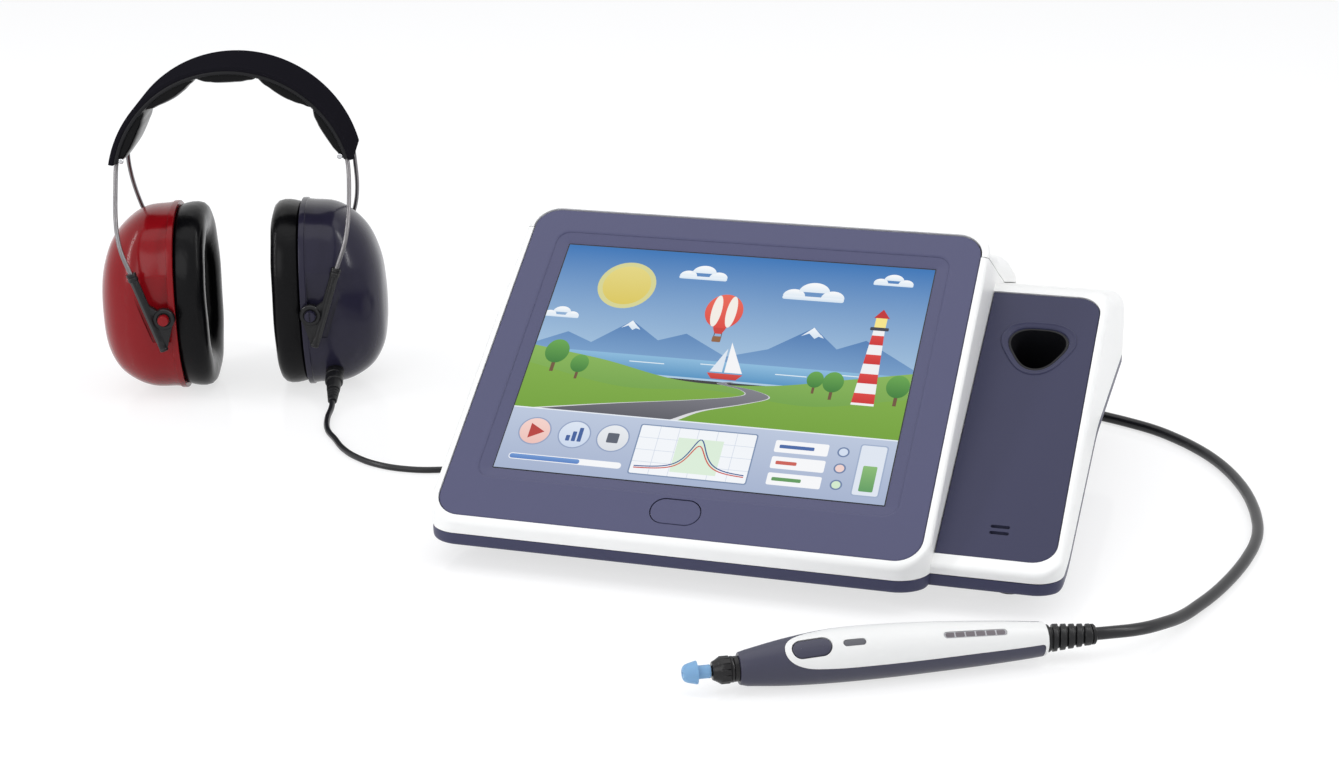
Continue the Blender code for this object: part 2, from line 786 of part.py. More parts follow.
def neck_space(gap):
    """The block under the bezel's back edge, which stays with the housing."""
    bm = plate([(-bezel_half_width - gap, 0.0), (bezel_half_width + gap, 0.0),
                (bezel_half_width + gap, bezel_back_reach + gap),
                (-bezel_half_width - gap, bezel_back_reach + gap)],
               -lip_depth * 3, rim_top + cut_overrun)
    return bm


def housing_voids():
    """Inner spaces of the housing: main section, neck under the bezel and probe section."""
    inner = -shell_wall
    front = body_front + shell_wall
    back = body_back - shell_wall
    seam_start = on_screen(lid_seam_back, rim_top)
    seam_fall = (seam_start[1] - deck(lid_seam_bend)) / (lid_seam_bend - seam_start[0])
    drop = shell_wall * 1.1

    def seam_line(distance):
        return seam_start[1] - seam_fall * (distance - seam_start[0]) - drop

    slope = math.tan(screen_tilt)
    inner_base = screen_rise + inner / math.cos(screen_tilt)
    meet = (seam_start[1] - drop + seam_fall * seam_start[0] - inner_base) / (slope + seam_fall)
    main = [(front, -cut_overrun), (front, inner_base + slope * front),
            (meet, inner_base + slope * meet), (lid_seam_bend, deck(lid_seam_bend) - drop),
            (back, deck(back) - drop), (back, -cut_overrun)]
    half = body_half_width - shell_wall
    low = plate(main, -half, half, SIDE_VIEW)
    corner = lambda point: near(abs(point.x), half) and (near(point.y, front) or near(point.y, back))
    round_edges(low, upright(corner), front_corner - shell_wall, 3)

    neck_back = bezel_back_reach - shell_wall
    top = on_screen(neck_back, -neck_wall)
    foot = (top[0] + shell_wall * 0.4, seam_line(top[0] + shell_wall * 0.4))
    neck_start = bezel_back_reach - lip_depth * 2
    neck = plate([on_screen(neck_start, -neck_wall), top, foot, on_screen(neck_start, -lip_depth * 2)],
                 -bezel_half_width + shell_wall, bezel_half_width - shell_wall, SIDE_VIEW)

    deep = -probe_panel_thickness - seat_gap - shell_wall
    wall_front = section_front + shell_wall
    base = section_rise + deep / math.cos(section_tilt)
    rise = math.tan(section_tilt)
    section_meet = (deck(0.0) - drop - base) / (rise + section_roof_fall)
    section = [(wall_front, -cut_overrun), (wall_front, base + rise * wall_front),
               (section_meet, base + rise * section_meet), (back, deck(back) - drop), (back, -cut_overrun)]
    right = section_right - shell_wall
    side = plate(section, body_half_width, right, SIDE_VIEW)
    corner = lambda point: near(point.x, right) and (near(point.y, wall_front) or near(point.y, back))
    round_edges(side, upright(corner), section_corner - shell_wall, 3)
    return low, neck, side


# Top housing
top_housing = part("top_housing", main_body(), white_plastic)
join(top_housing, cutter("section_body", section_body()))
lid_cut = cutter("lid_cut", lid_space(0.0))
cut(lid_cut, cutter("neck_keep", neck_space(0.0), screen_frame))
cut(top_housing, lid_cut)
for label, body in zip(("main_void", "neck_void", "section_void"), housing_voids()):
    cut(top_housing, cutter(label, body))

bezel_recess = plate(
    rounded_rectangle(-bezel_half_width - seat_gap, bezel_half_width + seat_gap,
                      -bezel_front_reach - seat_gap, bezel_back_reach + seat_gap,
                      (bezel_corner + seat_gap,) * 4), 0.0, rim_top + cut_overrun)
cut(top_housing, cutter("bezel_recess", bezel_recess, screen_frame))

glass_half_width = screen_width / 2 + glass_margin
glass_half_height = screen_height / 2 + glass_margin
glass_opening = box((-glass_half_width - seat_gap, -glass_half_height - seat_gap, -cut_overrun),
                    (glass_half_width + seat_gap, glass_half_height + seat_gap, cut_overrun / 4))
cut(top_housing, cutter("glass_opening", glass_opening, screen_frame))

section_panel_right = section_right - section_rim_width
panel_recess = plate(
    rounded_rectangle(body_half_width - join_step, section_panel_right + seat_gap, probe_panel_front - seat_gap,
                      probe_panel_back + seat_gap,
                      (0.0, probe_panel_corner + seat_gap, probe_panel_corner + seat_gap, 0.0)),
    -probe_panel_thickness - seat_gap, rim_proud + cut_overrun / 8)
cut(top_housing, cutter("panel_recess", panel_recess, section_frame))


def holder_outline(grow):
    """Rounded triangle with its broad side to the back, grown evenly by a margin."""
    points = []
    for index in range(20):
        angle = 2 * math.pi * index / 20
        swell = 1.0 + 0.085 * math.sin(3 * angle)
        across = (holder_half_width + grow) * math.cos(angle) * swell
        along = (holder_half_length + grow) * math.sin(angle) * (2.0 - swell)
        points.append((holder_centre + across, holder_offset + along))
    return points


holder_hole = plate(holder_outline(holder_wall + seat_gap), -cut_overrun, cut_overrun)
cut(top_housing, cutter("holder_hole", holder_hole, section_frame))
sound_hole = box((holder_centre - slot_length / 2, -slot_offset - slot_pitch, -cut_overrun),
                 (holder_centre + slot_length / 2, -slot_offset + slot_pitch, cut_overrun / 4))
cut(top_housing, cutter("sound_hole", sound_hole, section_frame))

bay_half_width = paper_width / 2 + bay_margin + bay_wall
deck_opening = box((-bay_half_width + bay_wall, bay_front + bay_wall, bay_floor),
                   (bay_half_width - bay_wall, bay_back - bay_wall, roof_start_rise))
cut(top_housing, cutter("deck_opening", deck_opening))

ear_radius = hinge_radius - seat_gap
for side, label in ((-1, "left"), (1, "right")):
    centre = side * hinge_ear_centre
    foot_back = hinge_back + ear_radius
    ear = plate([(hinge_back - ear_radius, deck(hinge_back - ear_radius) - shell_wall / 2),
                 (foot_back, deck(foot_back) - shell_wall / 2),
                 *((hinge_back + ear_radius * math.cos(turn * degree),
                    hinge_rise + ear_radius * math.sin(turn * degree)) for turn in range(0, 181, 30))],
                centre - hinge_ear_width / 2, centre + hinge_ear_width / 2, SIDE_VIEW)
    join(top_housing, cutter("ear_" + label, ear))
rod_hole_radius = hinge_rod_radius + seat_gap
rod_hole = cylinder(rod_hole_radius, -hinge_rod_length / 2 - seat_gap, hinge_rod_length / 2 + seat_gap,
                    ALONG_X, (0.0, hinge_back, hinge_rise), 16)
rod_hole = cutter("rod_hole", rod_hole)
cut(top_housing, rod_hole)

# Printer lid, with its origin on the hinge
printer_lid = part("printer_lid", main_body(), white_plastic, device, (0.0, hinge_back, hinge_rise))
lid_keep = cutter("lid_keep", lid_space(lid_gap))
cut(lid_keep, cutter("neck_clear", neck_space(seat_gap + lid_gap / 2), screen_frame))
combine(printer_lid, lid_keep, "INTERSECT")
lid_void_front = on_screen(lip_reach, rim_top - lip_depth)[0] + lid_wall
lid_void_back = hinge_back - hinge_radius - lid_wall
inner_roof = [(back, rise - lid_wall * 1.1) for back, rise in roof_line[:3]]
lid_void = plate([(lid_void_front, bay_floor), (lid_void_front, inner_roof[0][1]), *inner_roof,
                  (lid_void_back, inner_roof[-1][1] + (lid_void_back - inner_roof[-1][0])
                   * (roof_end[1] - lid_wall - inner_roof[-1][1]) / (roof_end[0] - inner_roof[-1][0])),
                  (lid_void_back, bay_floor)],
                 -body_half_width + lid_wall, body_half_width - lid_wall, SIDE_VIEW)
cut(printer_lid, cutter("lid_void", lid_void))
slot = box((-paper_width / 2, paper_slot_back - paper_slot_width / 2, deck(paper_slot_back)),
           (paper_width / 2, paper_slot_back + paper_slot_width / 2, roof_start_rise + cut_overrun))
cut(printer_lid, cutter("paper_slot", slot))
for side, label in ((-1, "left"), (1, "right")):
    centre = side * hinge_ear_centre
    reach = hinge_ear_width / 2 + seat_gap
    notch = box((centre - reach, lid_void_back - seat_gap, bay_floor),
                (centre + reach, body_back, roof_start_rise))
    cut(printer_lid, cutter("ear_notch_" + label, notch))
cut(printer_lid, rod_hole)

rod = cylinder(hinge_rod_radius, -hinge_rod_length / 2, hinge_rod_length / 2, ALONG_X,
               (0.0, hinge_back, hinge_rise), 12)
part("lid_hinge_rod", rod, steel)


# Bezel with a sloped step down to the glass
bezel = plate(rounded_rectangle(-bezel_half_width, bezel_half_width, -bezel_front_reach,
                                bezel_back_reach, (bezel_corner,) * 4, 5), seat_gap, bezel_top)
bezel = part("display_bezel", bezel, slate_plastic, screen_frame)
window_half_width = screen_width / 2 + window_margin
window_half_height = screen_height / 2 + window_margin
window_rings = []
for height, grow in ((-seat_gap, 0.0), (bezel_top - seat_gap, window_slope),
                     (bezel_top + seat_gap, window_slope)):
    ring = rounded_rectangle(-window_half_width - grow, window_half_width + grow,
                             -window_half_height - grow, window_half_height + grow,
                             (window_corner + grow,) * 4, 3)
    window_rings.append([(across, along, height) for across, along in ring])
cut(bezel, cutter("window", loft(window_rings), screen_frame))
button_hole = plate(racetrack(0.0, -button_back_offset, button_length + 2 * seat_gap,
                              button_width + 2 * seat_gap), -cut_overrun, cut_overrun)
button_hole = cutter("button_hole", button_hole, screen_frame)
cut(bezel, button_hole)
cut(top_housing, button_hole)

button = plate(racetrack(0.0, -button_back_offset, button_length, button_width),
               bezel_top - button_depth, bezel_top)
part("power_button", button, slate_plastic, screen_frame, (0.0, -button_back_offset, bezel_top))

glass = box((-glass_half_width, -glass_half_height, -glass_thickness),
            (glass_half_width, glass_half_height, 0.0))
part("touch_glass", glass, screen_glass, screen_frame)
panel_half_width = screen_width / 2 + panel_margin
panel_half_height = screen_height / 2 + panel_margin
panel_top = -shell_wall - seat_gap
lcd = box((-panel_half_width, -panel_half_height, panel_top - panel_thickness),
          (panel_half_width, panel_half_height, panel_top), small_edge, 1)
part("lcd_module", lcd, steel, screen_frame)


# Probe panel with a raised ring about the holder and two sound slots
section_panel = plate(
    rounded_rectangle(body_half_width + seat_gap, section_panel_right, probe_panel_front,
                      probe_panel_back, (0.0, probe_panel_corner, probe_panel_corner, 0.0), 5),
    -probe_panel_thickness, 0.0)
section_panel = part("probe_panel", section_panel, panel_plastic, section_frame)
ring_grow = holder_wall + holder_ring_width
ring_rings = []
for height, grow in ((-holder_ring_rise, ring_grow + holder_ring_rise), (holder_ring_rise, ring_grow)):
    ring_rings.append([(across, along, height) for across, along in holder_outline(grow)])
join(section_panel, cutter("holder_ring", loft(ring_rings), section_frame))
holder_outer = plate(holder_outline(holder_wall + seat_gap), -cut_overrun, cut_overrun)
cut(section_panel, cutter("holder_opening", holder_outer, section_frame))
for index in range(2):
    along = -slot_offset + (index - 0.5) * slot_pitch
    sound_slot = plate(racetrack(holder_centre, along, slot_length, slot_width, 3),
                       -cut_overrun, cut_overrun)
    cut(section_panel, cutter("sound_slot_" + str(index), sound_slot, section_frame))

holder_rings = [[(across, along, height) for across, along in holder_outline(holder_wall)]
                for height in (-holder_depth, holder_ring_rise)]
holder = part("probe_holder", loft(holder_rings), black_plastic, section_frame)
inner_rings = [[(across, along, height) for across, along in holder_outline(0.0)]
               for height in (-holder_depth + holder_wall, cut_overrun)]
cut(holder, cutter("holder_inside", loft(inner_rings), section_frame))

speaker_top = -probe_panel_thickness - 2 * seat_gap - shell_wall
speaker = cylinder(speaker_radius, speaker_top - speaker_depth, speaker_top,
                   TOP_VIEW, (holder_centre, -slot_offset + speaker_radius / 3, 0.0), 20)
part("alert_speaker", speaker, black_plastic, section_frame)


# Base tray: a band that follows the seam, and a tub set in from it
def band_block(left, right, front, corners, step=0.0):
    top = seam_points(front, -seat_gap - step, body_back - step)
    bottom = seam_points(front, step - seat_gap - band_height, body_back - step)
    bm = plate([*top, *reversed(bottom)], left, right, SIDE_VIEW)
    for across, radius, place in corners:
        chosen = lambda point: near(point.x, across) and near(point.y, place)
        round_edges(bm, both(chosen), radius, 4)
    lowest = bottom[0][1]
    foot = lambda point: near(point.z, lowest)
    outside = both(lambda point: foot(point) and point.y < seam_bend_front - plane_tolerance)
    round_edges(bm, outside, band_round, 2)
    return bm


band = band_block(-body_half_width, body_half_width, body_front,
                  ((-body_half_width, front_corner, body_front), (body_half_width, front_corner, body_front),
                   (-body_half_width, back_corner, body_back)))
base_tray = part("base_tray", band, slate_plastic)
section_band = band_block(body_half_width - front_corner * 1.5, section_right, section_front,
                          ((section_right, section_corner, section_front),
                           (section_right, back_corner, body_back - join_step)), join_step)
join(base_tray, cutter("section_band", section_band))
tub_left = -body_half_width + tub_inset
tub_right = section_right - tub_inset
tub_front = body_front + tub_front_inset
tub_floor = foot_height + seat_gap
hidden = 0.4 * mm
tub = plate([(tub_front, tub_floor), (tub_back, tub_floor), (tub_back, seam_back_rise - hidden),
             (seam_bend_back, seam_back_rise - hidden - seat_gap),
             (seam_bend_front, seam_front_rise - hidden - seat_gap),
             (tub_front, seam_front_rise - hidden - seat_gap)], tub_left, tub_right, SIDE_VIEW)
round_edges(tub, both(lambda point: near(point.z, tub_floor)), band_round, 2)
join(base_tray, cutter("tub", tub))
tub_void = box((tub_left + tub_wall, tub_front + tub_wall, tub_floor + tub_wall),
               (tub_right - tub_wall, tub_back - tub_wall, seam_back_rise + cut_overrun))
cut(base_tray, cutter("tub_void", tub_void))
tub_middle = (tub_left + tub_right) / 2
screw_spots = ((tub_left + foot_inset * 2.2, tub_front + foot_inset * 0.9),
               (tub_right - foot_inset * 2.2, tub_front + foot_inset * 0.9))
for index, spot in enumerate(screw_spots):
    boss = cylinder(screw_boss_radius, tub_floor + tub_wall / 2, tub_floor + tub_wall + board_lift, TOP_VIEW,
                    (*spot, 0.0), 16)
    join(base_tray, cutter("screw_boss_" + str(index), boss))
    head_room = turned([(0.0, screw_length + 2 * seat_gap), (screw_shank_radius + seat_gap,
                        screw_length + 2 * seat_gap), (screw_shank_radius + seat_gap, tub_wall),
                        (screw_head_radius + seat_gap, tub_wall), (screw_head_radius + seat_gap, -cut_overrun),
                        (0.0, -cut_overrun)], 14, TOP_VIEW, (*spot, tub_floor))
    cut(base_tray, cutter("screw_room_" + str(index), head_room))
    screw = turned([(0.0, screw_length), (screw_shank_radius, screw_length - seat_gap),
                    (screw_shank_radius, tub_wall - seat_gap), (screw_head_radius, tub_wall - seat_gap),
                    (screw_head_radius, seat_gap), (screw_head_radius * 0.5, seat_gap),
                    (0.0, seat_gap * 3)], 14, TOP_VIEW, (*spot, tub_floor))
    part("case_screw_" + ("left", "right")[index], screw, steel)

board_floor = tub_floor + tub_wall + board_lift
for index, (side, end) in enumerate(((-1, -1), (1, -1), (-1, 1), (1, 1))):
    spot = (side * (board_length / 2 - screw_boss_radius),
            board_back + end * (board_depth / 2 - screw_boss_radius))
    post = cylinder(screw_boss_radius / 2, tub_floor + tub_wall / 2, board_floor - seat_gap, TOP_VIEW,
                    (*spot, 0.0), 12)
    join(base_tray, cutter("board_post_" + str(index), post))

feet = (("foot_front_left", tub_left + foot_inset, tub_front + foot_inset),
        ("foot_front_right", tub_right - foot_inset, tub_front + foot_inset),
        ("foot_rear_left", tub_left + foot_inset, tub_back - foot_inset),
        ("foot_rear_right", tub_right - foot_inset, tub_back - foot_inset))
for name, across, along in feet:
    foot = turned([(0.0, foot_height), (foot_radius, foot_height), (foot_radius, foot_height * 0.3),
                   (foot_radius - foot_height * 0.3, 0.0), (0.0, 0.0)], 20, TOP_VIEW, (across, along, 0.0))
    part(name, foot, rubber)

# Main board with its larger chips, the pump and the valve block
board = box((-board_length / 2, board_back - board_depth / 2, board_floor),
            (board_length / 2, board_back + board_depth / 2, board_floor + board_thickness))
board = part("main_board", board, circuit)
board_top = board_floor + board_thickness
chip_height = board_thickness * 1.5
for index, (across_share, along_share, size_share) in enumerate(((-0.3, -0.2, 0.14), (0.05, -0.25, 0.2),
                                                                 (0.35, -0.2, 0.1))):
    middle = (across_share * board_length, board_back + along_share * board_depth)
    half = size_share * board_depth / 2
    chip = box((middle[0] - half, middle[1] - half, board_top - board_thickness / 2),
               (middle[0] + half, middle[1] + half, board_top + chip_height))
    join(board, cutter("chip_" + str(index), chip))

component_rise = board_top + seat_gap
pump_back = board_back + board_depth / 4
pump_rise = component_rise + pump_radius + board_thickness
pump = cylinder(pump_radius, -pump_length / 2, pump_length / 2, ALONG_X,
                (-board_length / 4, pump_back, pump_rise), 20)
pump = part("pressure_pump", pump, steel)
pump_mount = box((-board_length / 4 - pump_length / 4, pump_back - pump_radius * 0.75, component_rise),
                 (-board_length / 4 + pump_length / 4, pump_back + pump_radius * 0.75, pump_rise))
join(pump, cutter("pump_mount", pump_mount))
valve_left = board_length / 8
valve = box((valve_left, pump_back - valve_size[1] / 2, component_rise),
            (valve_left + valve_size[0], pump_back + valve_size[1] / 2, component_rise + valve_size[2]),
            small_edge, 1)
valve = part("valve_block", valve, brass)
barb_radius = valve_size[2] / 6
barb = cylinder(barb_radius, -valve_size[2] / 2, valve_size[2] / 4, ALONG_X,
                (valve_left, pump_back, component_rise + valve_size[2] / 2), 12)
join(valve, cutter("valve_barb", barb))

# Connector plate and sockets
plate_front = tub_back + seat_gap
plate_face = plate_front + rear_plate_thickness
plate_left = (probe_socket_side + headset_socket_side - rear_plate_length) / 2
rear_plate = box((plate_left, plate_front, rear_plate_rise),
                 (plate_left + rear_plate_length, plate_face, rear_plate_rise + rear_plate_height),
                 small_edge, 1)
part("rear_plate", rear_plate, black_plastic)
for name, across, radius, core, material in (
        ("probe_socket", probe_socket_side, probe_socket_radius, probe_socket_radius * 0.55, steel),
        ("headset_socket", headset_socket_side, headset_socket_radius, headset_socket_radius * 0.5, brass)):
    socket = turned([(core, socket_depth), (radius, socket_depth), (radius, 0.0), (0.0, 0.0),
                     (0.0, socket_depth / 4), (core, socket_depth / 4)][:3]
                    + [(core, 0.0)], 20, ALONG_Y, (across, plate_face + seat_gap, socket_rise))
    part(name, socket, material)
inlet = box((inlet_side - probe_socket_radius, plate_face + seat_gap, socket_rise - probe_socket_radius * 0.7),
            (inlet_side + probe_socket_radius, plate_face + seat_gap + socket_depth,
             socket_rise + probe_socket_radius * 0.7), small_edge, 1)
inlet = part("power_inlet", inlet, black_plastic)
inlet_bore = cylinder(probe_socket_radius * 0.4, -socket_depth, socket_depth, ALONG_Y,
                      (inlet_side, plate_face + seat_gap + socket_depth * 1.4, socket_rise), 14)
cut(inlet, cutter("inlet_bore", inlet_bore))

# Printer: cradle, head, platen roller and paper roll
def cradle_top(back):
    return deck(back) - shell_wall * 1.1 - 2 * seat_gap


cradle = plate([(bay_front, bay_floor), (bay_back, bay_floor), (bay_back, cradle_top(bay_back)),
                (bay_front, cradle_top(bay_front))], -bay_half_width, bay_half_width, SIDE_VIEW)
cradle = part("printer_frame", cradle, black_plastic)
cradle_void = box((-bay_half_width + bay_wall, bay_front + bay_wall, bay_floor + bay_wall),
                  (bay_half_width - bay_wall, bay_back - bay_wall, roof_start_rise))
cut(cradle, cutter("cradle_void", cradle_void))
for name, back, rise, radius in (("roll_notch", roll_back, roll_rise, paper_pin_radius),
                                 ("platen_notch", platen_back, platen_rise, platen_pin_radius)):
    reach = radius + seat_gap
    notch = plate([(back - reach, roof_start_rise),
                   *((back + reach * math.cos(turn * degree), rise + reach * math.sin(turn * degree))
                     for turn in range(180, 361, 30)),
                   (back + reach, roof_start_rise)], -bay_half_width - cut_overrun,
                  bay_half_width + cut_overrun, SIDE_VIEW)
    cut(cradle, cutter(name, notch))

roll_half = paper_width / 2
pin_reach = roll_half + bay_margin + bay_wall
roll = turned([(0.0, pin_reach), (paper_pin_radius, pin_reach), (paper_pin_radius, roll_half),
               (paper_radius, roll_half), (paper_radius, -roll_half), (paper_pin_radius, -roll_half),
               (paper_pin_radius, -pin_reach), (0.0, -pin_reach)], 24, ALONG_X,
              (0.0, roll_back, roll_rise))
part("paper_roll", roll, paper, device, (0.0, roll_back, roll_rise))
roller = turned([(0.0, pin_reach), (platen_pin_radius, pin_reach), (platen_pin_radius, roll_half),
                 (platen_radius, roll_half), (platen_radius, -roll_half), (platen_pin_radius, -roll_half),
                 (platen_pin_radius, -pin_reach), (0.0, -pin_reach)], 20, ALONG_X,
                (0.0, platen_back, platen_rise))
part("platen_roller", roller, rubber, device, (0.0, platen_back, platen_rise))
head_front = bay_front + bay_wall + seat_gap
head_back = platen_back - platen_radius - seat_gap
head = box((-roll_half, head_front, platen_rise - head_height), (roll_half, head_back, platen_rise),
           small_edge, 1)
part("print_head", head, steel)


# Hand probe. Its rings are ellipses about a centre line that sags and rises with the body.
def probe_ring(share, radius_share, drop_share, inset):
    radius = probe_radius * radius_share
    drop = probe_radius * drop_share
    centre = (drop * math.sin(probe_roll), drop * math.cos(probe_roll))
    ring = []
    for index in range(18):
        angle = 2 * math.pi * (index + 0.5) / 18
        ring.append((probe_body_start + share * probe_body_length,
                     centre[0] + (radius * probe_wide_share - inset) * math.cos(angle),
                     centre[1] + (radius * probe_tall_share - inset) * math.sin(angle)))
    return ring


def probe_body(inset=0.0, first=0, last=None):
    rows = list(zip(probe_station_shares, probe_radius_shares, probe_drop_shares))
    return loft([probe_ring(*row, inset) for row in rows[first:last]])


def probe_top_space(gap):
    """The space of the upper shell: a split line, a rounded front end and a collar at the back."""
    level = probe_radius * probe_split_share + gap
    start = probe_body_start + probe_split_front_share * probe_body_length + gap
    flat = probe_body_start + probe_split_level_share * probe_body_length
    end = probe_body_start + probe_body_length - probe_collar + gap
    high = probe_radius * 1.25
    points = [(start, high * 2)]
    for index in range(7):
        angle = 15.0 * degree * index
        points.append((flat - (flat - start) * math.cos(angle), high - (high - level) * math.sin(angle)))
    drop = probe_radius * 0.18
    points += [(end, level - drop), (end, -high * 2), (end + cut_overrun, -high * 2),
               (end + cut_overrun, high * 2)]
    return plate(points, -probe_radius * 2, probe_radius * 2, FRONT_VIEW)


probe_lower = part("probe_lower_shell", probe_body(), slate_plastic, probe_body_frame)
cut(probe_lower, cutter("probe_top_cut", probe_top_space(0.0), probe_body_frame))
probe_inside = cutter("probe_inside", probe_body(probe_wall, 1, -1), probe_body_frame)
cut(probe_lower, probe_inside)
probe_upper = part("probe_upper_shell", probe_body(), white_plastic, probe_body_frame)
combine(probe_upper, cutter("probe_top_keep", probe_top_space(seat_gap), probe_body_frame), "INTERSECT")
cut(probe_upper, probe_inside)


def probe_spot(share):
    """Place along the probe and height of its upper face there."""
    place = probe_body_start + share * probe_body_length
    for low, high in zip(range(len(probe_station_shares) - 1), range(1, len(probe_station_shares))):
        if probe_station_shares[low] <= share <= probe_station_shares[high]:
            mix = (share - probe_station_shares[low]) / (probe_station_shares[high] - probe_station_shares[low])
            radius = probe_radius_shares[low] + mix * (probe_radius_shares[high] - probe_radius_shares[low])
            drop = probe_drop_shares[low] + mix * (probe_drop_shares[high] - probe_drop_shares[low])
            break
    return place, probe_radius * (radius * probe_tall_share + drop * math.cos(probe_roll))


button_place, button_rise = probe_spot(probe_button_share)
for name, share, length, width in (("probe_button_hole", probe_button_share, probe_button_length,
                                    probe_button_width),
                                   ("status_hole", status_share, status_length, status_width),
                                   ("level_hole", level_share, level_length, level_width)):
    place, rise = probe_spot(share)
    hole = plate(racetrack(place, 0.0, length + 2 * seat_gap, width + 2 * seat_gap, 4), 0.0, cut_overrun * 2)
    hole = cutter(name, hole, probe_body_frame)
    cut(probe_upper, hole)
    if share == probe_button_share:
        cut(probe_lower, hole)

probe_button_top = button_rise - probe_button_sink
probe_button = plate(racetrack(button_place, 0.0, probe_button_length, probe_button_width, 4),
                     probe_button_top - probe_wall * 1.6, probe_button_top)
probe_button = part("probe_button", probe_button, slate_plastic, probe_body_frame,
                    (button_place, 0.0, probe_button_top))
for name, share, length, width in (("status_window", status_share, status_length, status_width),
                                   ("level_window", level_share, level_length, level_width)):
    place, rise = probe_spot(share)
    top = rise - probe_button_sink
    pane = plate(racetrack(place, 0.0, length, width, 3), top - window_depth, top)
    part(name, pane, grey_window, probe_body_frame)

probe_board_start = probe_body_start + 0.16 * probe_body_length
probe_board_end = probe_body_start + 0.90 * probe_body_length
probe_board_rise = button_rise - probe_wall * 1.6 - probe_button_travel - board_thickness - 3 * seat_gap
probe_board = box((probe_board_start, -probe_radius * 0.42, probe_board_rise - board_thickness * 2.6),
                  (probe_board_end, probe_radius * 0.42, probe_board_rise - board_thickness * 1.6))
probe_board = part("probe_board", probe_board, circuit, probe_body_frame)
switch_block = box((button_place - probe_button_length / 4, -probe_button_width / 4,
                    probe_board_rise - board_thickness * 2),
                   (button_place + probe_button_length / 4, probe_button_width / 4,
                    probe_board_rise + board_thickness))
join(probe_board, cutter("probe_switch", switch_block, probe_body_frame))

tip_drop = probe_radius * probe_drop_shares[0]
tip_frame = frame("tip_frame", probe_frame, (0.0, 0.0, tip_drop))
cap_front = probe_cap_start
cap_back = probe_cap_start + probe_cap_length
tip_bore = probe_tip_radius + seat_gap
core_radius = probe_cap_radius - probe_cap_wall
core_front = cap_front + probe_cap_length * 0.3
cap = turned([(core_radius + seat_gap, cap_back), (probe_cap_radius, cap_back),
              (probe_cap_radius, cap_front + probe_cap_length * 0.28), (probe_cap_radius * 0.66, cap_front),
              (tip_bore, cap_front), (tip_bore, core_front - seat_gap),
              (core_radius + seat_gap, core_front - seat_gap)], 18, ALONG_X)
part("nose_cap", cap, black_plastic, tip_frame)
tip_end = probe_body_start - seat_gap
core = turned([(0.0, tip_end), (probe_collar_radius, tip_end), (probe_collar_radius, cap_back + seat_gap),
               (core_radius, cap_back + seat_gap), (core_radius, core_front), (probe_tip_radius, core_front),
               (probe_tip_radius, ear_tip_length * 0.35), (0.0, ear_tip_length * 0.35)], 16, ALONG_X)
part("probe_tip", core, black_plastic, tip_frame)
skirt = ear_tip_length * 0.55
ear_bore = probe_tip_radius + seat_gap
ear = turned([(ear_bore, ear_tip_length), (ear_tip_stem_radius, ear_tip_length),
              (ear_tip_stem_radius, skirt * 0.85), (ear_tip_radius, skirt),
              (ear_tip_radius, skirt * 0.62), (ear_tip_radius * 0.82, skirt * 0.25),
              (ear_tip_radius * 0.5, 0.0), (ear_bore * 0.6, 0.0), (ear_bore * 0.6, ear_tip_length * 0.3),
              (ear_bore, ear_tip_length * 0.32)], 18, ALONG_X)
part("ear_tip", ear, tip_silicone, tip_frame)

# Ribbed strain relief at the back of the probe
relief_start = probe_body_start + probe_body_length + seat_gap
tail_drop = probe_radius * probe_drop_shares[-1]
relief_profile = [(0.0, relief_start + relief_length), (relief_end_radius, relief_start + relief_length)]
for index in range(relief_rib_count, 0, -1):
    share = index / relief_rib_count
    outer = relief_radius + (relief_end_radius - relief_radius) * share
    place = relief_start + relief_length * (0.08 + 0.84 * share)
    width = relief_length * 0.045
    relief_profile += [(outer, place - width), (outer * 0.82, place - width * 1.4),
                       (outer * 0.82, place - width * 2.6), (outer * 1.03, place - width * 3.0)]
relief_profile += [(relief_radius, relief_start), (0.0, relief_start)]
relief = turned(relief_profile, 12, ALONG_X, (0.0, 0.0, tail_drop))
part("probe_strain_relief", relief, rubber, probe_frame)


# Headset. side is -1 for the red right-ear cup and 1 for the blue left-ear cup.
def oval(across, half_width, half_height, centre_rise, count=20, power=0.84):
    """A rounded oval ring in the plane across the head."""
    ring = []
    for index in range(count):
        angle = 2 * math.pi * index / count
        first = math.copysign(abs(math.cos(angle)) ** power, math.cos(angle))
        second = math.copysign(abs(math.sin(angle)) ** power, math.sin(angle))
        ring.append((across, half_width * first, centre_rise + half_height * second))
    return ring


cup_centre_rise = cup_half_height
dome_shares = ((0.0, 1.0, 0.0), (0.30, 0.985, -0.01), (0.55, 0.90, -0.03), (0.78, 0.74, -0.06),
               (0.93, 0.52, -0.10), (1.0, 0.30, -0.13))


def cup_solid(side, inset):
    """A cup from its rim to the crown of its dome; inset makes the inner form."""
    rings = [oval(side * (cup_rim_inner - inset * 2), cup_half_width - inset, cup_half_height - inset,
                  cup_centre_rise),
             oval(side * (cup_rim_inner + cup_rim_depth), cup_half_width - inset, cup_half_height - inset,
                  cup_centre_rise)]
    for depth_share, size_share, drop_share in dome_shares:
        depth = cup_rim_inner + cup_rim_depth + cup_step + depth_share * (cup_depth - inset)
        shrink = dome_start_share * size_share
        rings.append(oval(side * depth, cup_half_width * shrink - inset,
                          cup_half_height * shrink - inset,
                          cup_centre_rise + drop_share * cup_half_height))
    return loft(rings)


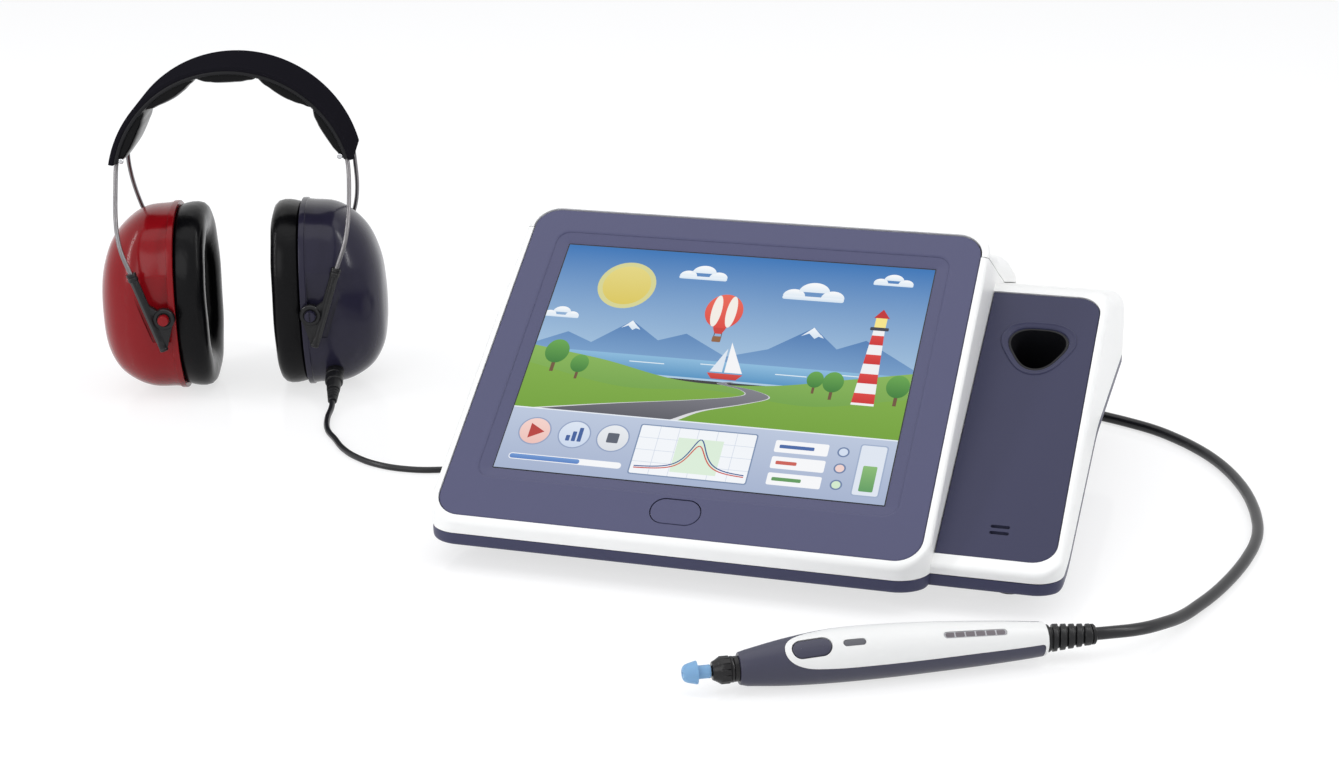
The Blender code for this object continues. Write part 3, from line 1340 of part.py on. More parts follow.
def cushion_solid(side):
    """A padded ring with a crown, full sides and a drawn-in seam at its base."""
    section = ((0.02, 0.86), (0.22, 0.97), (0.55, 1.0), (0.86, 0.93), (1.0, 0.72), (1.0, 0.42),
               (0.86, 0.14), (0.50, 0.0), (0.18, 0.05), (0.02, 0.14))
    start = cup_rim_inner - seat_gap
    rings = []
    for index in range(28):
        angle = 2 * math.pi * index / 28
        ring = []
        for depth_share, width_share in section:
            half_width = cushion_hole_width + width_share * (cup_half_width - cushion_inset - cushion_hole_width)
            half_height = cushion_hole_height + width_share * (cup_half_height - cushion_inset
                                                               - cushion_hole_height)
            ring.append((side * (start - depth_share * cushion_depth), half_width * math.cos(angle),
                         cup_centre_rise + half_height * math.sin(angle)))
        rings.append(ring)
    return loft(rings, closed=True)


def clip_point(side, along, across=0.0):
    """A point in the clip's plane: along it from its foot, and across it towards the cushion."""
    lean = side * clip_lean
    foot = (side * (clip_foot_side), clip_foot_rise)
    return (foot[0] + along * math.sin(lean) - side * across * math.cos(lean),
            foot[1] + along * math.cos(lean) + side * across * math.sin(lean))


pivot_side = cup_rim_inner + cup_rim_depth * 0.9
clip_offset = clip_width * 0.5 + clip_eye_radius * 0.55
clip_foot_side = pivot_side + clip_offset * math.cos(clip_lean) - pivot_along * math.sin(clip_lean)
clip_foot_rise = pivot_rise - clip_offset * math.sin(clip_lean) - pivot_along * math.cos(clip_lean)
clip_near = cup_half_width + 2 * seat_gap
clip_middle = clip_near + clip_thickness / 2


def clip_solid(side, face):
    """A wire clip with an eye that snaps on the cup's pin."""
    half = clip_width / 2
    points = [clip_point(side, 0.0, half), clip_point(side, 0.0, -half),
              clip_point(side, clip_length, -half), clip_point(side, clip_length, half),
              clip_point(side, pivot_along + clip_eye_radius * 1.5, half)]
    for index in range(7):
        angle = (90.0 - 30.0 * index) * degree
        points.append(clip_point(side, pivot_along + clip_eye_radius * math.sin(angle),
                                 clip_offset + clip_eye_radius * math.cos(angle)))
    low, high = sorted((-face * clip_near, -face * (clip_near + clip_thickness)))
    return plate(points, low, high, FRONT_VIEW)


def wire_points(face):
    """A spring wire from the foot of one clip, over the head, to the foot of the other."""
    over = []
    arc_radius = band_radius - band_thickness * 0.36
    for index in range(17):
        angle = math.pi - band_end_angle - index * (math.pi - 2 * band_end_angle) / 16
        over.append(Vector((arc_radius * math.cos(angle), face * band_wire_side,
                            band_centre_rise + arc_radius * math.sin(angle))))
    inside = clip_length - wire_insert
    foot = clip_point(-1, inside)
    mouth = clip_point(-1, clip_length)
    start = over[0]
    drop = start.z - mouth[1]
    legs = [Vector((foot[0], face * clip_middle, foot[1])),
            Vector((mouth[0], face * clip_middle, mouth[1]))]
    for rise_share, side_share, out in ((0.20, 0.94, 0.62), (0.42, 0.72, 0.93), (0.62, 0.42, 1.04),
                                        (0.82, 0.14, 1.035)):
        across = mouth[0] + (start.x - mouth[0]) * out
        legs.append(Vector((across, face * (band_wire_side + (clip_middle - band_wire_side) * side_share),
                            mouth[1] + drop * rise_share)))
    mirrored = [Vector((-point.x, point.y, point.z)) for point in reversed(legs)]
    return legs + over + mirrored


headband_points = []
lobe_steps = 5
inner_radius = band_radius - band_thickness
sweep = math.pi - 2 * band_end_angle
outer_steps = 24
for index in range(outer_steps + 1):
    angle = band_end_angle + sweep * index / outer_steps
    headband_points.append((band_radius * math.cos(angle), band_centre_rise + band_radius * math.sin(angle)))
inner_steps = band_lobe_count * lobe_steps
for index in range(inner_steps + 1):
    angle = math.pi - band_end_angle - sweep * index / inner_steps
    wave = abs(math.sin(math.pi * index / lobe_steps)) ** 0.5
    radius = inner_radius + band_lobe_depth * (1.0 - wave)
    headband_points.append((radius * math.cos(angle), band_centre_rise + radius * math.sin(angle)))
headband = plate(headband_points, -band_width / 2, band_width / 2, FRONT_VIEW)
headband = part("headband", headband, leather, headset_frame)
for label, face in (("front", -1), ("rear", 1)):
    path = wire_points(face)
    wire = part(label + "_wire", tube(path, wire_radius, 1), steel, headset_frame)
    channel = tube(path[5:-5], wire_radius + wire_clearance, 1)
    cut(headband, cutter(label + "_channel", channel, headset_frame))

for side, colour, shell_material in ((-1, "red", red_shell), (1, "blue", blue_shell)):
    pivot = (side * pivot_side, 0.0, pivot_rise)
    shell = part(colour + "_cup_shell", cup_solid(side, 0.0), shell_material, headset_frame, pivot)
    pin_reach_y = cup_half_width + pivot_reach
    pin = cylinder(pivot_radius, -pin_reach_y, pin_reach_y, ALONG_Y, pivot, 14)
    join(shell, cutter(colour + "_pin", pin, headset_frame))
    cut(shell, cutter(colour + "_cup_inside", cup_solid(side, cup_wall), headset_frame))
    part(colour + "_cushion", cushion_solid(side), leather, headset_frame)
    driver_top = side * (cup_rim_inner + seat_gap)
    driver = oval(driver_top, cup_half_width - cup_wall - seat_gap * 2, cup_half_height - cup_wall - seat_gap * 2,
                  cup_centre_rise)
    back = oval(side * (cup_rim_inner + seat_gap + cup_wall), cup_half_width - cup_wall - seat_gap * 2,
                cup_half_height - cup_wall - seat_gap * 2, cup_centre_rise)
    driver = part(colour + "_driver_plate", loft([driver, back]), black_plastic, headset_frame)
    capsule = cylinder(driver_radius, -cup_wall, cup_wall * 3, ALONG_X if side > 0 else ALONG_X.inverted(),
                       (side * (cup_rim_inner + cup_wall * 1.5), 0.0, cup_centre_rise), 20)
    join(driver, cutter(colour + "_capsule", capsule, headset_frame))
    for label, face in (("front", -1), ("rear", 1)):
        clip = part(colour + "_" + label + "_clip", clip_solid(side, face), black_plastic, headset_frame)
        eye = cylinder(pivot_radius + seat_gap, -pin_reach_y * 1.2, pin_reach_y * 1.2, ALONG_Y, pivot, 14)
        cut(clip, cutter(colour + "_" + label + "_eye", eye, headset_frame))
        foot = clip_point(side, clip_length - wire_insert - seat_gap)
        top = clip_point(side, clip_length + cut_overrun)
        bore = tube([(foot[0], face * clip_middle, foot[1]), (top[0], face * clip_middle, top[1])],
                    wire_radius + wire_clearance, 1)
        cut(clip, cutter(colour + "_" + label + "_bore", bore, headset_frame))


# Gland on the blue cup, pointing forward and down to the table
gland_exit = (gland_side, -cup_half_width - gland_reach, gland_rise)
gland_view = Matrix.Rotation(math.pi / 2 + gland_fall, 4, "X")
gland = turned([(0.0, 0.0), (gland_end_radius, 0.0), (gland_end_radius, -gland_length * 0.2),
                (gland_radius * 0.62, -gland_length * 0.23), (gland_radius * 0.8, -gland_length * 0.44),
                (gland_radius, -gland_length * 0.47), (gland_radius, -gland_length),
                (0.0, -gland_length)], 16, gland_view, gland_exit)
gland = part("cup_gland", gland, rubber, headset_frame)
cut(gland, cutter("gland_seat", cup_solid(1, -seat_gap), headset_frame))


# Cords
def length_of(points):
    return sum((second - first).length for first, second in zip(points, points[1:]))


def smooth_route(points, spacing):
    """Straight ends, and between them evenly spaced points of a smooth curve through the route."""
    ends = [Vector(point) for point in points]
    route = ends[1:-1]
    dense = []
    for a, b, c, d in zip(ends, ends[1:], ends[2:], ends[3:]):
        for step in range(12):
            t = step / 12
            dense.append(0.5 * ((2 * b) + (c - a) * t + (2 * a - 5 * b + 4 * c - d) * t * t
                                + (3 * b - a - 3 * c + d) * t * t * t))
    dense.append(route[-1])
    total = sum((second - first).length for first, second in zip(dense, dense[1:]))
    count = max(2, round(total / spacing))
    wanted = [total * index / count for index in range(count + 1)]
    result = []
    travelled = 0.0
    target = 0
    for first, second in zip(dense, dense[1:]):
        step = (second - first).length
        while target <= count and wanted[target] <= travelled + step + 1e-9:
            result.append(first.lerp(second, (wanted[target] - travelled) / step))
            target += 1
        travelled += step
    if len(result) <= count:
        result.append(route[-1])
    result = [ends[0], *result, ends[-1]]
    return result, length_of(result)


def coil_points(centre, radius, loops, cord_radius, start_angle, direction):
    """A neat round coil in two layers: the lower one spirals in, the upper one spirals out."""
    pitch = 2 * cord_radius * coil_pitch_share
    lower = (loops + 1) // 2
    outer = radius + pitch * (lower - 1) / 2
    points = []
    steps = loops * coil_point_count
    turn_back = lower * coil_point_count
    for index in range(steps + 1):
        angle = start_angle + direction * 2 * math.pi * index / coil_point_count
        inward = min(index, 2 * turn_back - index) / coil_point_count
        climb = min(1.0, max(0.0, (index - turn_back + coil_point_count / 4) / (coil_point_count / 2)))
        reach = outer - pitch * inward
        points.append(Vector((centre[0] + reach * math.cos(angle), centre[1] + reach * math.sin(angle),
                              cord_radius + pitch * climb)))
    return points


def least_gap(points, cord_radius):
    """The least gap between parts of one cord that are more than a quarter loop apart."""
    gap = None
    for first in range(len(points)):
        for second in range(first + coil_point_count // 3, len(points)):
            distance = (points[first] - points[second]).length - 2 * cord_radius
            gap = distance if gap is None else min(gap, distance)
    return gap


def world_point(holder, point):
    return holder.matrix_world @ Vector(point)


bpy.context.view_layer.update()
relief_mouth = relief_start + relief_length + seat_gap
def along(holder, start, step):
    """A point of a holder's frame and another one a step further, both in the device's frame."""
    return [world_point(holder, start), world_point(holder, Vector(start) + Vector(step))]


def on_table(route, level):
    """Route points, laid on the table where they have no height of their own."""
    return [(*point, level)[:3] for point in route]


def coil_lead(coil, step):
    """Two points that run straight into the first end of a coil."""
    back = (coil[0] - coil[1]).normalized()
    return [coil[0] + back * step, coil[0] + back * seat_gap]


relief_lead = probe_cord_radius * 2
probe_start = along(probe_frame, (relief_mouth, 0.0, tail_drop), (relief_lead, 0.0, 0.0))
probe_coil = coil_points(probe_coil_place, probe_coil_radius, probe_coil_count, probe_cord_radius, 0.0, 1)
probe_route = [*probe_start, *on_table(probe_cord_route, probe_cord_radius),
               *coil_lead(probe_coil, relief_lead)]
probe_run, probe_run_length = smooth_route(probe_route, probe_cord_spacing)
cord("probe_cord", probe_run, probe_cord_radius, cord_jacket)
cord("probe_cord_coil", probe_coil, probe_cord_radius, cord_jacket, 1)

plug_back = plate_face + seat_gap + socket_depth + seat_gap
probe_plug_core = probe_socket_radius * 0.55 - seat_gap
probe_plug = turned([(0.0, plug_length), (probe_cord_radius * 1.3, plug_length),
                     (probe_cord_radius * 1.6, plug_length * 0.72), (probe_socket_radius * 0.9, plug_length * 0.6),
                     (probe_socket_radius * 0.9, 0.0), (probe_plug_core, 0.0),
                     (probe_plug_core, -socket_depth), (0.0, -socket_depth)], 16, ALONG_Y,
                    (probe_socket_side, plug_back, socket_rise))
part("probe_plug", probe_plug, black_plastic)
plug_mouth = plug_back + plug_length + seat_gap
probe_tail_points = [*reversed(coil_lead(probe_coil[::-1], relief_lead)), *probe_tail_route, (probe_socket_side, plug_mouth + relief_lead, socket_rise),
                     (probe_socket_side, plug_mouth, socket_rise)]
probe_tail, probe_tail_length = smooth_route(probe_tail_points, probe_cord_spacing)
cord("probe_cord_tail", probe_tail, probe_cord_radius, cord_jacket)

cord_lead = headset_cord_radius * 2
gland_direction = Vector((0.0, -math.cos(gland_fall), -math.sin(gland_fall)))
gland_mouth = Vector(gland_exit) + gland_direction * seat_gap
headset_start = along(headset_frame, gland_mouth, gland_direction * cord_lead)
headset_coil = coil_points(headset_coil_place, headset_coil_radius, headset_coil_count,
                           headset_cord_radius, math.pi, -1)
headset_route = [*headset_start, *on_table(headset_cord_route, headset_cord_radius),
                 *coil_lead(headset_coil, cord_lead)]
headset_run, headset_run_length = smooth_route(headset_route, headset_cord_spacing)
cord("headset_cord", headset_run, headset_cord_radius, cord_jacket)
cord("headset_cord_coil", headset_coil, headset_cord_radius, cord_jacket, 1)

headset_plug_core = headset_socket_radius * 0.5 - seat_gap
jack_length = plug_length * 0.8
jack_plug = turned([(0.0, jack_length), (headset_cord_radius * 1.3, jack_length),
                    (headset_cord_radius * 1.8, jack_length * 0.75), (headset_socket_radius * 0.9, jack_length * 0.6),
                    (headset_socket_radius * 0.9, 0.0), (headset_plug_core, 0.0),
                    (headset_plug_core, -socket_depth), (0.0, -socket_depth)], 16, ALONG_Y,
                   (headset_socket_side, plug_back, socket_rise))
part("headset_plug", jack_plug, black_plastic)
jack_mouth = plug_back + jack_length + seat_gap
headset_tail_points = [*reversed(coil_lead(headset_coil[::-1], cord_lead)), *headset_tail_route, (headset_socket_side, jack_mouth + cord_lead, socket_rise),
                       (headset_socket_side, jack_mouth, socket_rise)]
headset_tail, headset_tail_length = smooth_route(headset_tail_points, headset_cord_spacing)
cord("headset_cord_tail", headset_tail, headset_cord_radius, cord_jacket)

print("probe coil least gap", round(least_gap(probe_coil, probe_cord_radius) / mm, 2), "mm")
print("headset coil least gap", round(least_gap(headset_coil, headset_cord_radius) / mm, 2), "mm")
print("probe cord length", round(probe_run_length + length_of(probe_coil) + probe_tail_length, 3), "m")
print("headset cord length", round(headset_run_length + length_of(headset_coil) + headset_tail_length, 3), "m")


# Put the origin under the middle of the set, cords and their plugs left out
def settle_origin():
    bpy.context.view_layer.update()
    graph = bpy.context.evaluated_depsgraph_get()
    loose = ("probe_cord", "headset_cord", "probe_plug", "headset_plug", "probe_strain", "cup_gland")
    low = Vector((math.inf,) * 3)
    high = Vector((-math.inf,) * 3)
    for item in parts.objects:
        if item.type != "MESH" or item.name.startswith(loose):
            continue
        solid = item.evaluated_get(graph)
        for corner in solid.data.vertices:
            spot = solid.matrix_world @ corner.co
            low = Vector(map(min, low, spot))
            high = Vector(map(max, high, spot))
    middle = (low + high) / 2
    device.location = (-middle.x, -middle.y, -low.z)
    bpy.context.view_layer.update()
    print("origin moved to", [round(value, 5) for value in device.location], "size",
          [round(value, 4) for value in high - low])


settle_origin()
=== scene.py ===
import math

import bmesh
import bpy
from mathutils import Matrix, Vector


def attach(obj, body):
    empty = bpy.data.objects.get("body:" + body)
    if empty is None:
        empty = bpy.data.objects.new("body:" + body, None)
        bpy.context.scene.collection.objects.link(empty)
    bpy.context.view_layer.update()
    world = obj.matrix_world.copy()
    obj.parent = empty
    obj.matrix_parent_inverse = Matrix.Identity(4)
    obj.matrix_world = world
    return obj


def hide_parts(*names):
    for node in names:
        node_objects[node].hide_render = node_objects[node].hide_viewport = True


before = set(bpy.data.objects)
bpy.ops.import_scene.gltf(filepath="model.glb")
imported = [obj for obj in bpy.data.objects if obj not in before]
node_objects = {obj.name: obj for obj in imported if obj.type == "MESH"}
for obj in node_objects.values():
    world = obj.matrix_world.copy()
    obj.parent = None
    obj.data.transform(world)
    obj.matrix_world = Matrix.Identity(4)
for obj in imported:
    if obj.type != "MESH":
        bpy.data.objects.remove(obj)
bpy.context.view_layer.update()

collection = bpy.context.scene.collection


# Camera. It stands in front of the device, a little to its right and above it, and looks down at the
# table. All pieces are placed from the middle of the screen's foot line on the table: X right, Y back.
mm = 0.001
device_shift = Vector((99.98 * mm, -4.66 * mm, 0.04 * mm))
device_frame = Matrix.Translation(device_shift)
camera_data = bpy.data.cameras.new("camera")
camera_data.sensor_width = 36.0
camera_data.lens = 60.55
camera = bpy.data.objects.new("camera", camera_data)
camera_back = Vector((0.272, -0.9047, 0.3257)).normalized()
camera_right = Vector((0.9587, 0.2842, -0.0100))
camera_right = (camera_right - camera_back * camera_right.dot(camera_back)).normalized()
camera_up = camera_back.cross(camera_right)
camera_turn = Matrix((camera_right, camera_up, camera_back)).transposed().to_4x4()
camera.matrix_world = Matrix.Translation(Vector((247.0 * mm, -894.3 * mm, 384.0 * mm)) + device_shift) @ camera_turn
collection.objects.link(camera)
bpy.context.scene.camera = camera
bpy.context.scene.view_settings.view_transform = "Standard"


# Studio. A pale table that mirrors a little, a white surround, and soft lamps: one over the table, one
# to the front left, and a tall narrow one on each side that draws the long lights on the cups.
def set_sockets(node, values):
    for socket, value in values.items():
        node.inputs[socket].default_value = value


def add_node(tree, kind, x, y, sockets=None, **values):
    """A node at a place in its tree, with its own settings and constants on its sockets."""
    node = tree.nodes.new(kind)
    node.location = (x, y)
    for key, value in values.items():
        setattr(node, key, value)
    set_sockets(node, sockets or {})
    return node


def join(tree, *rows):
    """Links, given as rows of (node, output, node, socket)."""
    for source, output, target, socket in rows:
        tree.links.new(source.outputs[output], target.inputs[socket])


def surround_rays(tree, x, y):
    """One for the rays that show the surround: straight ones, mirrored ones and those through glass."""
    path = add_node(tree, "ShaderNodeLightPath", x, y)
    first = add_node(tree, "ShaderNodeMath", x + 180, y, operation="MAXIMUM")
    second = add_node(tree, "ShaderNodeMath", x + 360, y, operation="MAXIMUM")
    join(tree, (path, "Is Camera Ray", first, 0), (path, "Is Glossy Ray", first, 1), (first, 0, second, 0),
         (path, "Is Transmission Ray", second, 1))
    return second.outputs[0]


world = bpy.data.worlds.new("studio")
bpy.context.scene.world = world
world.use_nodes = True
tree = world.node_tree
tree.nodes.clear()
lit = add_node(tree, "ShaderNodeBackground", 200, 100, {"Color": (0.93, 0.95, 1.0, 1.0), "Strength": 0.52})
white = add_node(tree, "ShaderNodeBackground", 200, -100, {"Color": (1.0, 1.0, 1.0, 1.0)})
mixed = add_node(tree, "ShaderNodeMixShader", 420, 0)
output = add_node(tree, "ShaderNodeOutputWorld", 620, 0)
tree.links.new(surround_rays(tree, -400, 0), mixed.inputs[0])
join(tree, (lit, 0, mixed, 1), (white, 0, mixed, 2), (mixed, 0, output, 0))

table_mesh = bpy.data.meshes.new("table_top")
bm = bmesh.new()
bmesh.ops.create_grid(bm, x_segments=1, y_segments=1, size=6.0)
bm.to_mesh(table_mesh)
bm.free()
table_top = bpy.data.objects.new("table_top", table_mesh)
collection.objects.link(table_top)
table_finish = bpy.data.materials.new("table_top")
table_finish.use_nodes = True
tree = table_finish.node_tree
tree.nodes.clear()
matt = add_node(tree, "ShaderNodeBsdfDiffuse", 0, 200, {"Color": (0.95, 0.95, 0.952, 1.0)})
mirror = add_node(tree, "ShaderNodeBsdfGlossy", 0, 0, {"Roughness": 0.06})
bright = add_node(tree, "ShaderNodeEmission", 0, -200, {"Strength": 1.15})
glaze = add_node(tree, "ShaderNodeMixShader", 250, 100, {0: 0.11})
lift = add_node(tree, "ShaderNodeMixShader", 450, 0)
share = add_node(tree, "ShaderNodeMath", 250, -200, {1: 0.6}, operation="MULTIPLY")
output = add_node(tree, "ShaderNodeOutputMaterial", 650, 0)
join(tree, (matt, 0, glaze, 1), (mirror, 0, glaze, 2))
tree.links.new(surround_rays(tree, -500, -200), share.inputs[0])
join(tree, (share, 0, lift, 0), (glaze, 0, lift, 1), (bright, 0, lift, 2), (lift, 0, output, 0))
table_mesh.materials.append(table_finish)

for name, place, aim, upward, width, tall, watts in (
        ("overhead", (-0.1, 0.1, 1.5), (0.05, 0.0, 0.0), (0.0, 1.0, 0.0), 1.6, 1.6, 7.4),
        ("front_left", (-0.5, -1.6, 0.9), (0.0, 0.0, 0.05), (0.0, 0.0, 1.0), 1.0, 1.0, 6.0),
        ("left_tall", (-1.55, -0.82, 0.95), (-0.23, 0.0, 0.05), (0.02, 0.70, 0.72), 0.08, 2.0, 11.0),
        ("right_tall", (1.30, 0.05, 1.1), (-0.15, 0.0, 0.05), (-0.45, 0.35, 0.80), 0.08, 1.6, 8.5)):
    lamp_data = bpy.data.lights.new(name, "AREA")
    lamp_data.shape = "RECTANGLE"
    lamp_data.size = width
    lamp_data.size_y = tall
    lamp_data.energy = watts
    lamp = bpy.data.objects.new(name, lamp_data)
    lamp.location = place
    back = (Vector(place) - Vector(aim)).normalized()
    across = Vector(upward).cross(back).normalized()
    lamp.rotation_euler = Matrix((across, back.cross(across), back)).transposed().to_euler()
    collection.objects.link(lamp)


# Two free cords with a black PVC jacket: 5 mm for the probe's air and signal lines, 3 mm for the
# headset. Each leaves its strain relief, lies on the table, and is wound up behind the device.
degree = math.pi / 180.0


def srgb(red, green, blue):
    """A colour as it is seen on a screen, given in steps of 255, made linear."""
    return tuple((channel / 255.0 / 12.92) if channel <= 10 else ((channel / 255.0 + 0.055) / 1.055) ** 2.4
                 for channel in (red, green, blue)) + (1.0,)


def moulded_surface():
    """Fine drift of colour and gloss with a shallow grain, shared by the moulded and coated pieces."""
    group = bpy.data.node_groups.new("moulded_surface", "ShaderNodeTree")
    face = group.interface
    for label, kind, value in (("Colour", "NodeSocketColor", (0.5, 0.5, 0.5, 1.0)),
                               ("Drift", "NodeSocketFloat", 0.05), ("Grain scale", "NodeSocketFloat", 900.0),
                               ("Gloss low", "NodeSocketFloat", 0.3), ("Gloss high", "NodeSocketFloat", 0.4)):
        face.new_socket(name=label, in_out="INPUT", socket_type=kind).default_value = value
    for label, kind in (("Colour", "NodeSocketColor"), ("Roughness", "NodeSocketFloat"),
                        ("Height", "NodeSocketFloat")):
        face.new_socket(name=label, in_out="OUTPUT", socket_type=kind)
    inside = add_node(group, "NodeGroupInput", -900, 0)
    outside = add_node(group, "NodeGroupOutput", 500, 0)
    place = add_node(group, "ShaderNodeTexCoord", -900, -300)
    broad = add_node(group, "ShaderNodeTexNoise", -650, 200, {"Scale": 22.0, "Detail": 3.0})
    fine = add_node(group, "ShaderNodeTexNoise", -650, -200, {"Detail": 2.0})
    signed = add_node(group, "ShaderNodeMath", -450, 250, {1: 0.5}, operation="SUBTRACT")
    scaled = add_node(group, "ShaderNodeMath", -300, 250, operation="MULTIPLY")
    level = add_node(group, "ShaderNodeMath", -150, 250, {1: 1.0}, operation="ADD")
    tint = add_node(group, "ShaderNodeVectorMath", 50, 250, operation="SCALE")
    gloss = add_node(group, "ShaderNodeMapRange", -150, 0)
    join(group, (place, "Object", broad, "Vector"), (place, "Object", fine, "Vector"),
         (inside, "Grain scale", fine, "Scale"), (broad, "Fac", signed, 0), (signed, 0, scaled, 0),
         (inside, "Drift", scaled, 1), (scaled, 0, level, 0), (inside, "Colour", tint, 0),
         (level, 0, tint, "Scale"), (tint, 0, outside, "Colour"), (broad, "Fac", gloss, "Value"),
         (inside, "Gloss low", gloss, "To Min"), (inside, "Gloss high", gloss, "To Max"),
         (gloss, "Result", outside, "Roughness"), (fine, "Fac", outside, "Height"))
    return group


surface_group = moulded_surface()


def moulded(name, colour, gloss=(0.32, 0.42), drift=0.06, grain=1400.0, depth=0.02, coat=0.0, metallic=0.0,
            specular=0.2, reach=0.00005):
    """A moulded, painted or drawn finish from the shared surface, with its own colour and grain."""
    material = bpy.data.materials.new(name)
    material.use_nodes = True
    tree = material.node_tree
    shader = tree.nodes["Principled BSDF"]
    set_sockets(shader, {"Metallic": metallic, "Coat Weight": coat, "Coat Roughness": 0.12,
                         "Specular IOR Level": specular})
    surface = add_node(tree, "ShaderNodeGroup", -500, 100, node_tree=surface_group)
    set_sockets(surface, {"Colour": colour, "Drift": drift, "Grain scale": grain, "Gloss low": gloss[0],
                          "Gloss high": gloss[1]})
    bump = add_node(tree, "ShaderNodeBump", -250, -200, {"Strength": depth * 10.0, "Distance": reach})
    join(tree, (surface, "Colour", shader, "Base Color"), (surface, "Roughness", shader, "Roughness"),
         (surface, "Height", bump, "Height"), (bump, "Normal", shader, "Normal"))
    return material


def dress(material, *nodes):
    """Give CAD nodes that keep their shape a finish."""
    for node in nodes:
        slots = node_objects[node].material_slots
        for slot in slots:
            slot.material = material


cord_jacket = moulded("cord_jacket", srgb(26, 26, 29), (0.26, 0.34), 0.1, 2600.0, 0.012, specular=0.35)
seat_gap = 0.3 * mm
probe_cord_radius = 2.5 * mm
headset_cord_radius = 1.5 * mm
coil_loop_points = 16
coil_pitch_share = 1.16


def smooth_route(points, spacing):
    """Straight ends, and between them evenly spaced points of a smooth curve through the route."""
    ends = [Vector(point) for point in points]
    route = ends[1:-1]
    dense = []
    for a, b, c, d in zip(ends, ends[1:], ends[2:], ends[3:]):
        for step in range(12):
            t = step / 12
            dense.append(0.5 * ((2 * b) + (c - a) * t + (2 * a - 5 * b + 4 * c - d) * t * t
                                + (3 * b - a - 3 * c + d) * t * t * t))
    dense.append(route[-1])
    total = sum((second - first).length for first, second in zip(dense, dense[1:]))
    count = max(2, round(total / spacing))
    wanted = [total * index / count for index in range(count + 1)]
    result = []
    travelled = 0.0
    target = 0
    for first, second in zip(dense, dense[1:]):
        step = (second - first).length
        while target <= count and wanted[target] <= travelled + step + 1e-9:
            result.append(first.lerp(second, (wanted[target] - travelled) / step))
            target += 1
        travelled += step
    if len(result) <= count:
        result.append(route[-1])
    return [ends[0], *result, ends[-1]]


def coil_points(centre, radius, loops, cord_radius, start_angle, direction):
    """A neat round coil in two layers: the lower one spirals in, the upper one spirals out."""
    pitch = 2 * cord_radius * coil_pitch_share
    lower = (loops + 1) // 2
    outer = radius + pitch * (lower - 1) / 2
    points = []
    turn_back = lower * coil_loop_points
    for index in range(loops * coil_loop_points + 1):
        angle = start_angle + direction * 2 * math.pi * index / coil_loop_points
        inward = min(index, 2 * turn_back - index) / coil_loop_points
        climb = min(1.0, max(0.0, (index - turn_back + coil_loop_points / 4) / (coil_loop_points / 2)))
        reach = outer - pitch * inward
        points.append(Vector((centre[0] + reach * math.cos(angle), centre[1] + reach * math.sin(angle),
                              cord_radius + pitch * climb)))
    return points


def coil_lead(coil, step):
    """A straight start in line with the coil's first step."""
    back = (coil[0] - coil[1]).normalized()
    return [coil[0] + back * step, coil[0] + back * seat_gap]


def on_table(route, level):
    """Gives the points of a route that have no height of their own the given one."""
    return [(*point, level)[:3] for point in route]


def in_metres(route):
    return [tuple(value * mm for value in point) for point in route]


def free_cord(name, points, radius):
    """A smooth round cord through points, as one curve with closed ends."""
    curve = bpy.data.curves.new(name, "CURVE")
    curve.dimensions = "3D"
    curve.bevel_depth = radius
    curve.bevel_resolution = 6
    curve.use_fill_caps = True
    curve.resolution_u = 6
    spline = curve.splines.new("BEZIER")
    spline.bezier_points.add(len(points) - 1)
    for spot, point in zip(spline.bezier_points, points):
        spot.co = point + device_shift
        spot.handle_left_type = "AUTO"
        spot.handle_right_type = "AUTO"
    curve.materials.append(cord_jacket)
    item = bpy.data.objects.new(name, curve)
    collection.objects.link(item)
    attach(item, "base")
    return item


probe_place = (32.3 * mm, -168.4 * mm)
probe_yaw = 27.2 * degree
probe_roll = 37.5 * degree
probe_axis_rise = 9.6 * mm
probe_body_start = 21.5 * mm
probe_body_length = 119.7 * mm
probe_radius = 10.4 * mm
relief_length = 20.0 * mm
relief_start = probe_body_start + probe_body_length + seat_gap
relief_mouth = relief_start + relief_length + seat_gap
tail_drop = -0.03 * probe_radius
probe_frame = (Matrix.Translation((*probe_place, probe_axis_rise)) @ Matrix.Rotation(probe_yaw, 4, "Z"))
probe_body_frame = probe_frame @ Matrix.Rotation(probe_roll, 4, "X")
plate_face = 115.3 * mm
plug_back = plate_face + 5.6 * mm
plug_length = 30.0 * mm
socket_rise = 20.0 * mm
probe_socket_side = 96.0 * mm
headset_socket_side = -44.0 * mm
probe_lead = probe_cord_radius * 2
probe_cord_route = in_metres(((189.5, -85.6, 8.4), (199.0, -72.6, 6.4), (206.6, -57.5, 4.0), (219.0, -24.0),
                              (228.5, 14.0), (230.8, 48.0), (223.0, 90.0), (206.0, 128.0), (180.0, 157.0),
                              (150.0, 173.0), (122.0, 184.0), (102.5, 200.0)))
probe_tail_route = in_metres(((96.5, 246.0, 7.0), (112.0, 258.0, 2.5), (131.0, 246.0, 2.5),
                              (133.0, 221.0, 3.2), (117.0, 197.0, 9.0), (103.0, 175.0, 17.0)))
probe_coil = coil_points((62.0 * mm, 222.0 * mm), 28.0 * mm, 5, probe_cord_radius, 0.0, 1)
probe_exit = probe_frame @ Vector((relief_mouth, 0.0, tail_drop))
probe_run = smooth_route([probe_exit, probe_frame @ Vector((relief_mouth + probe_lead, 0.0, tail_drop)),
                          *on_table(probe_cord_route, probe_cord_radius),
                          *coil_lead(probe_coil, probe_lead)], 15.0 * mm)
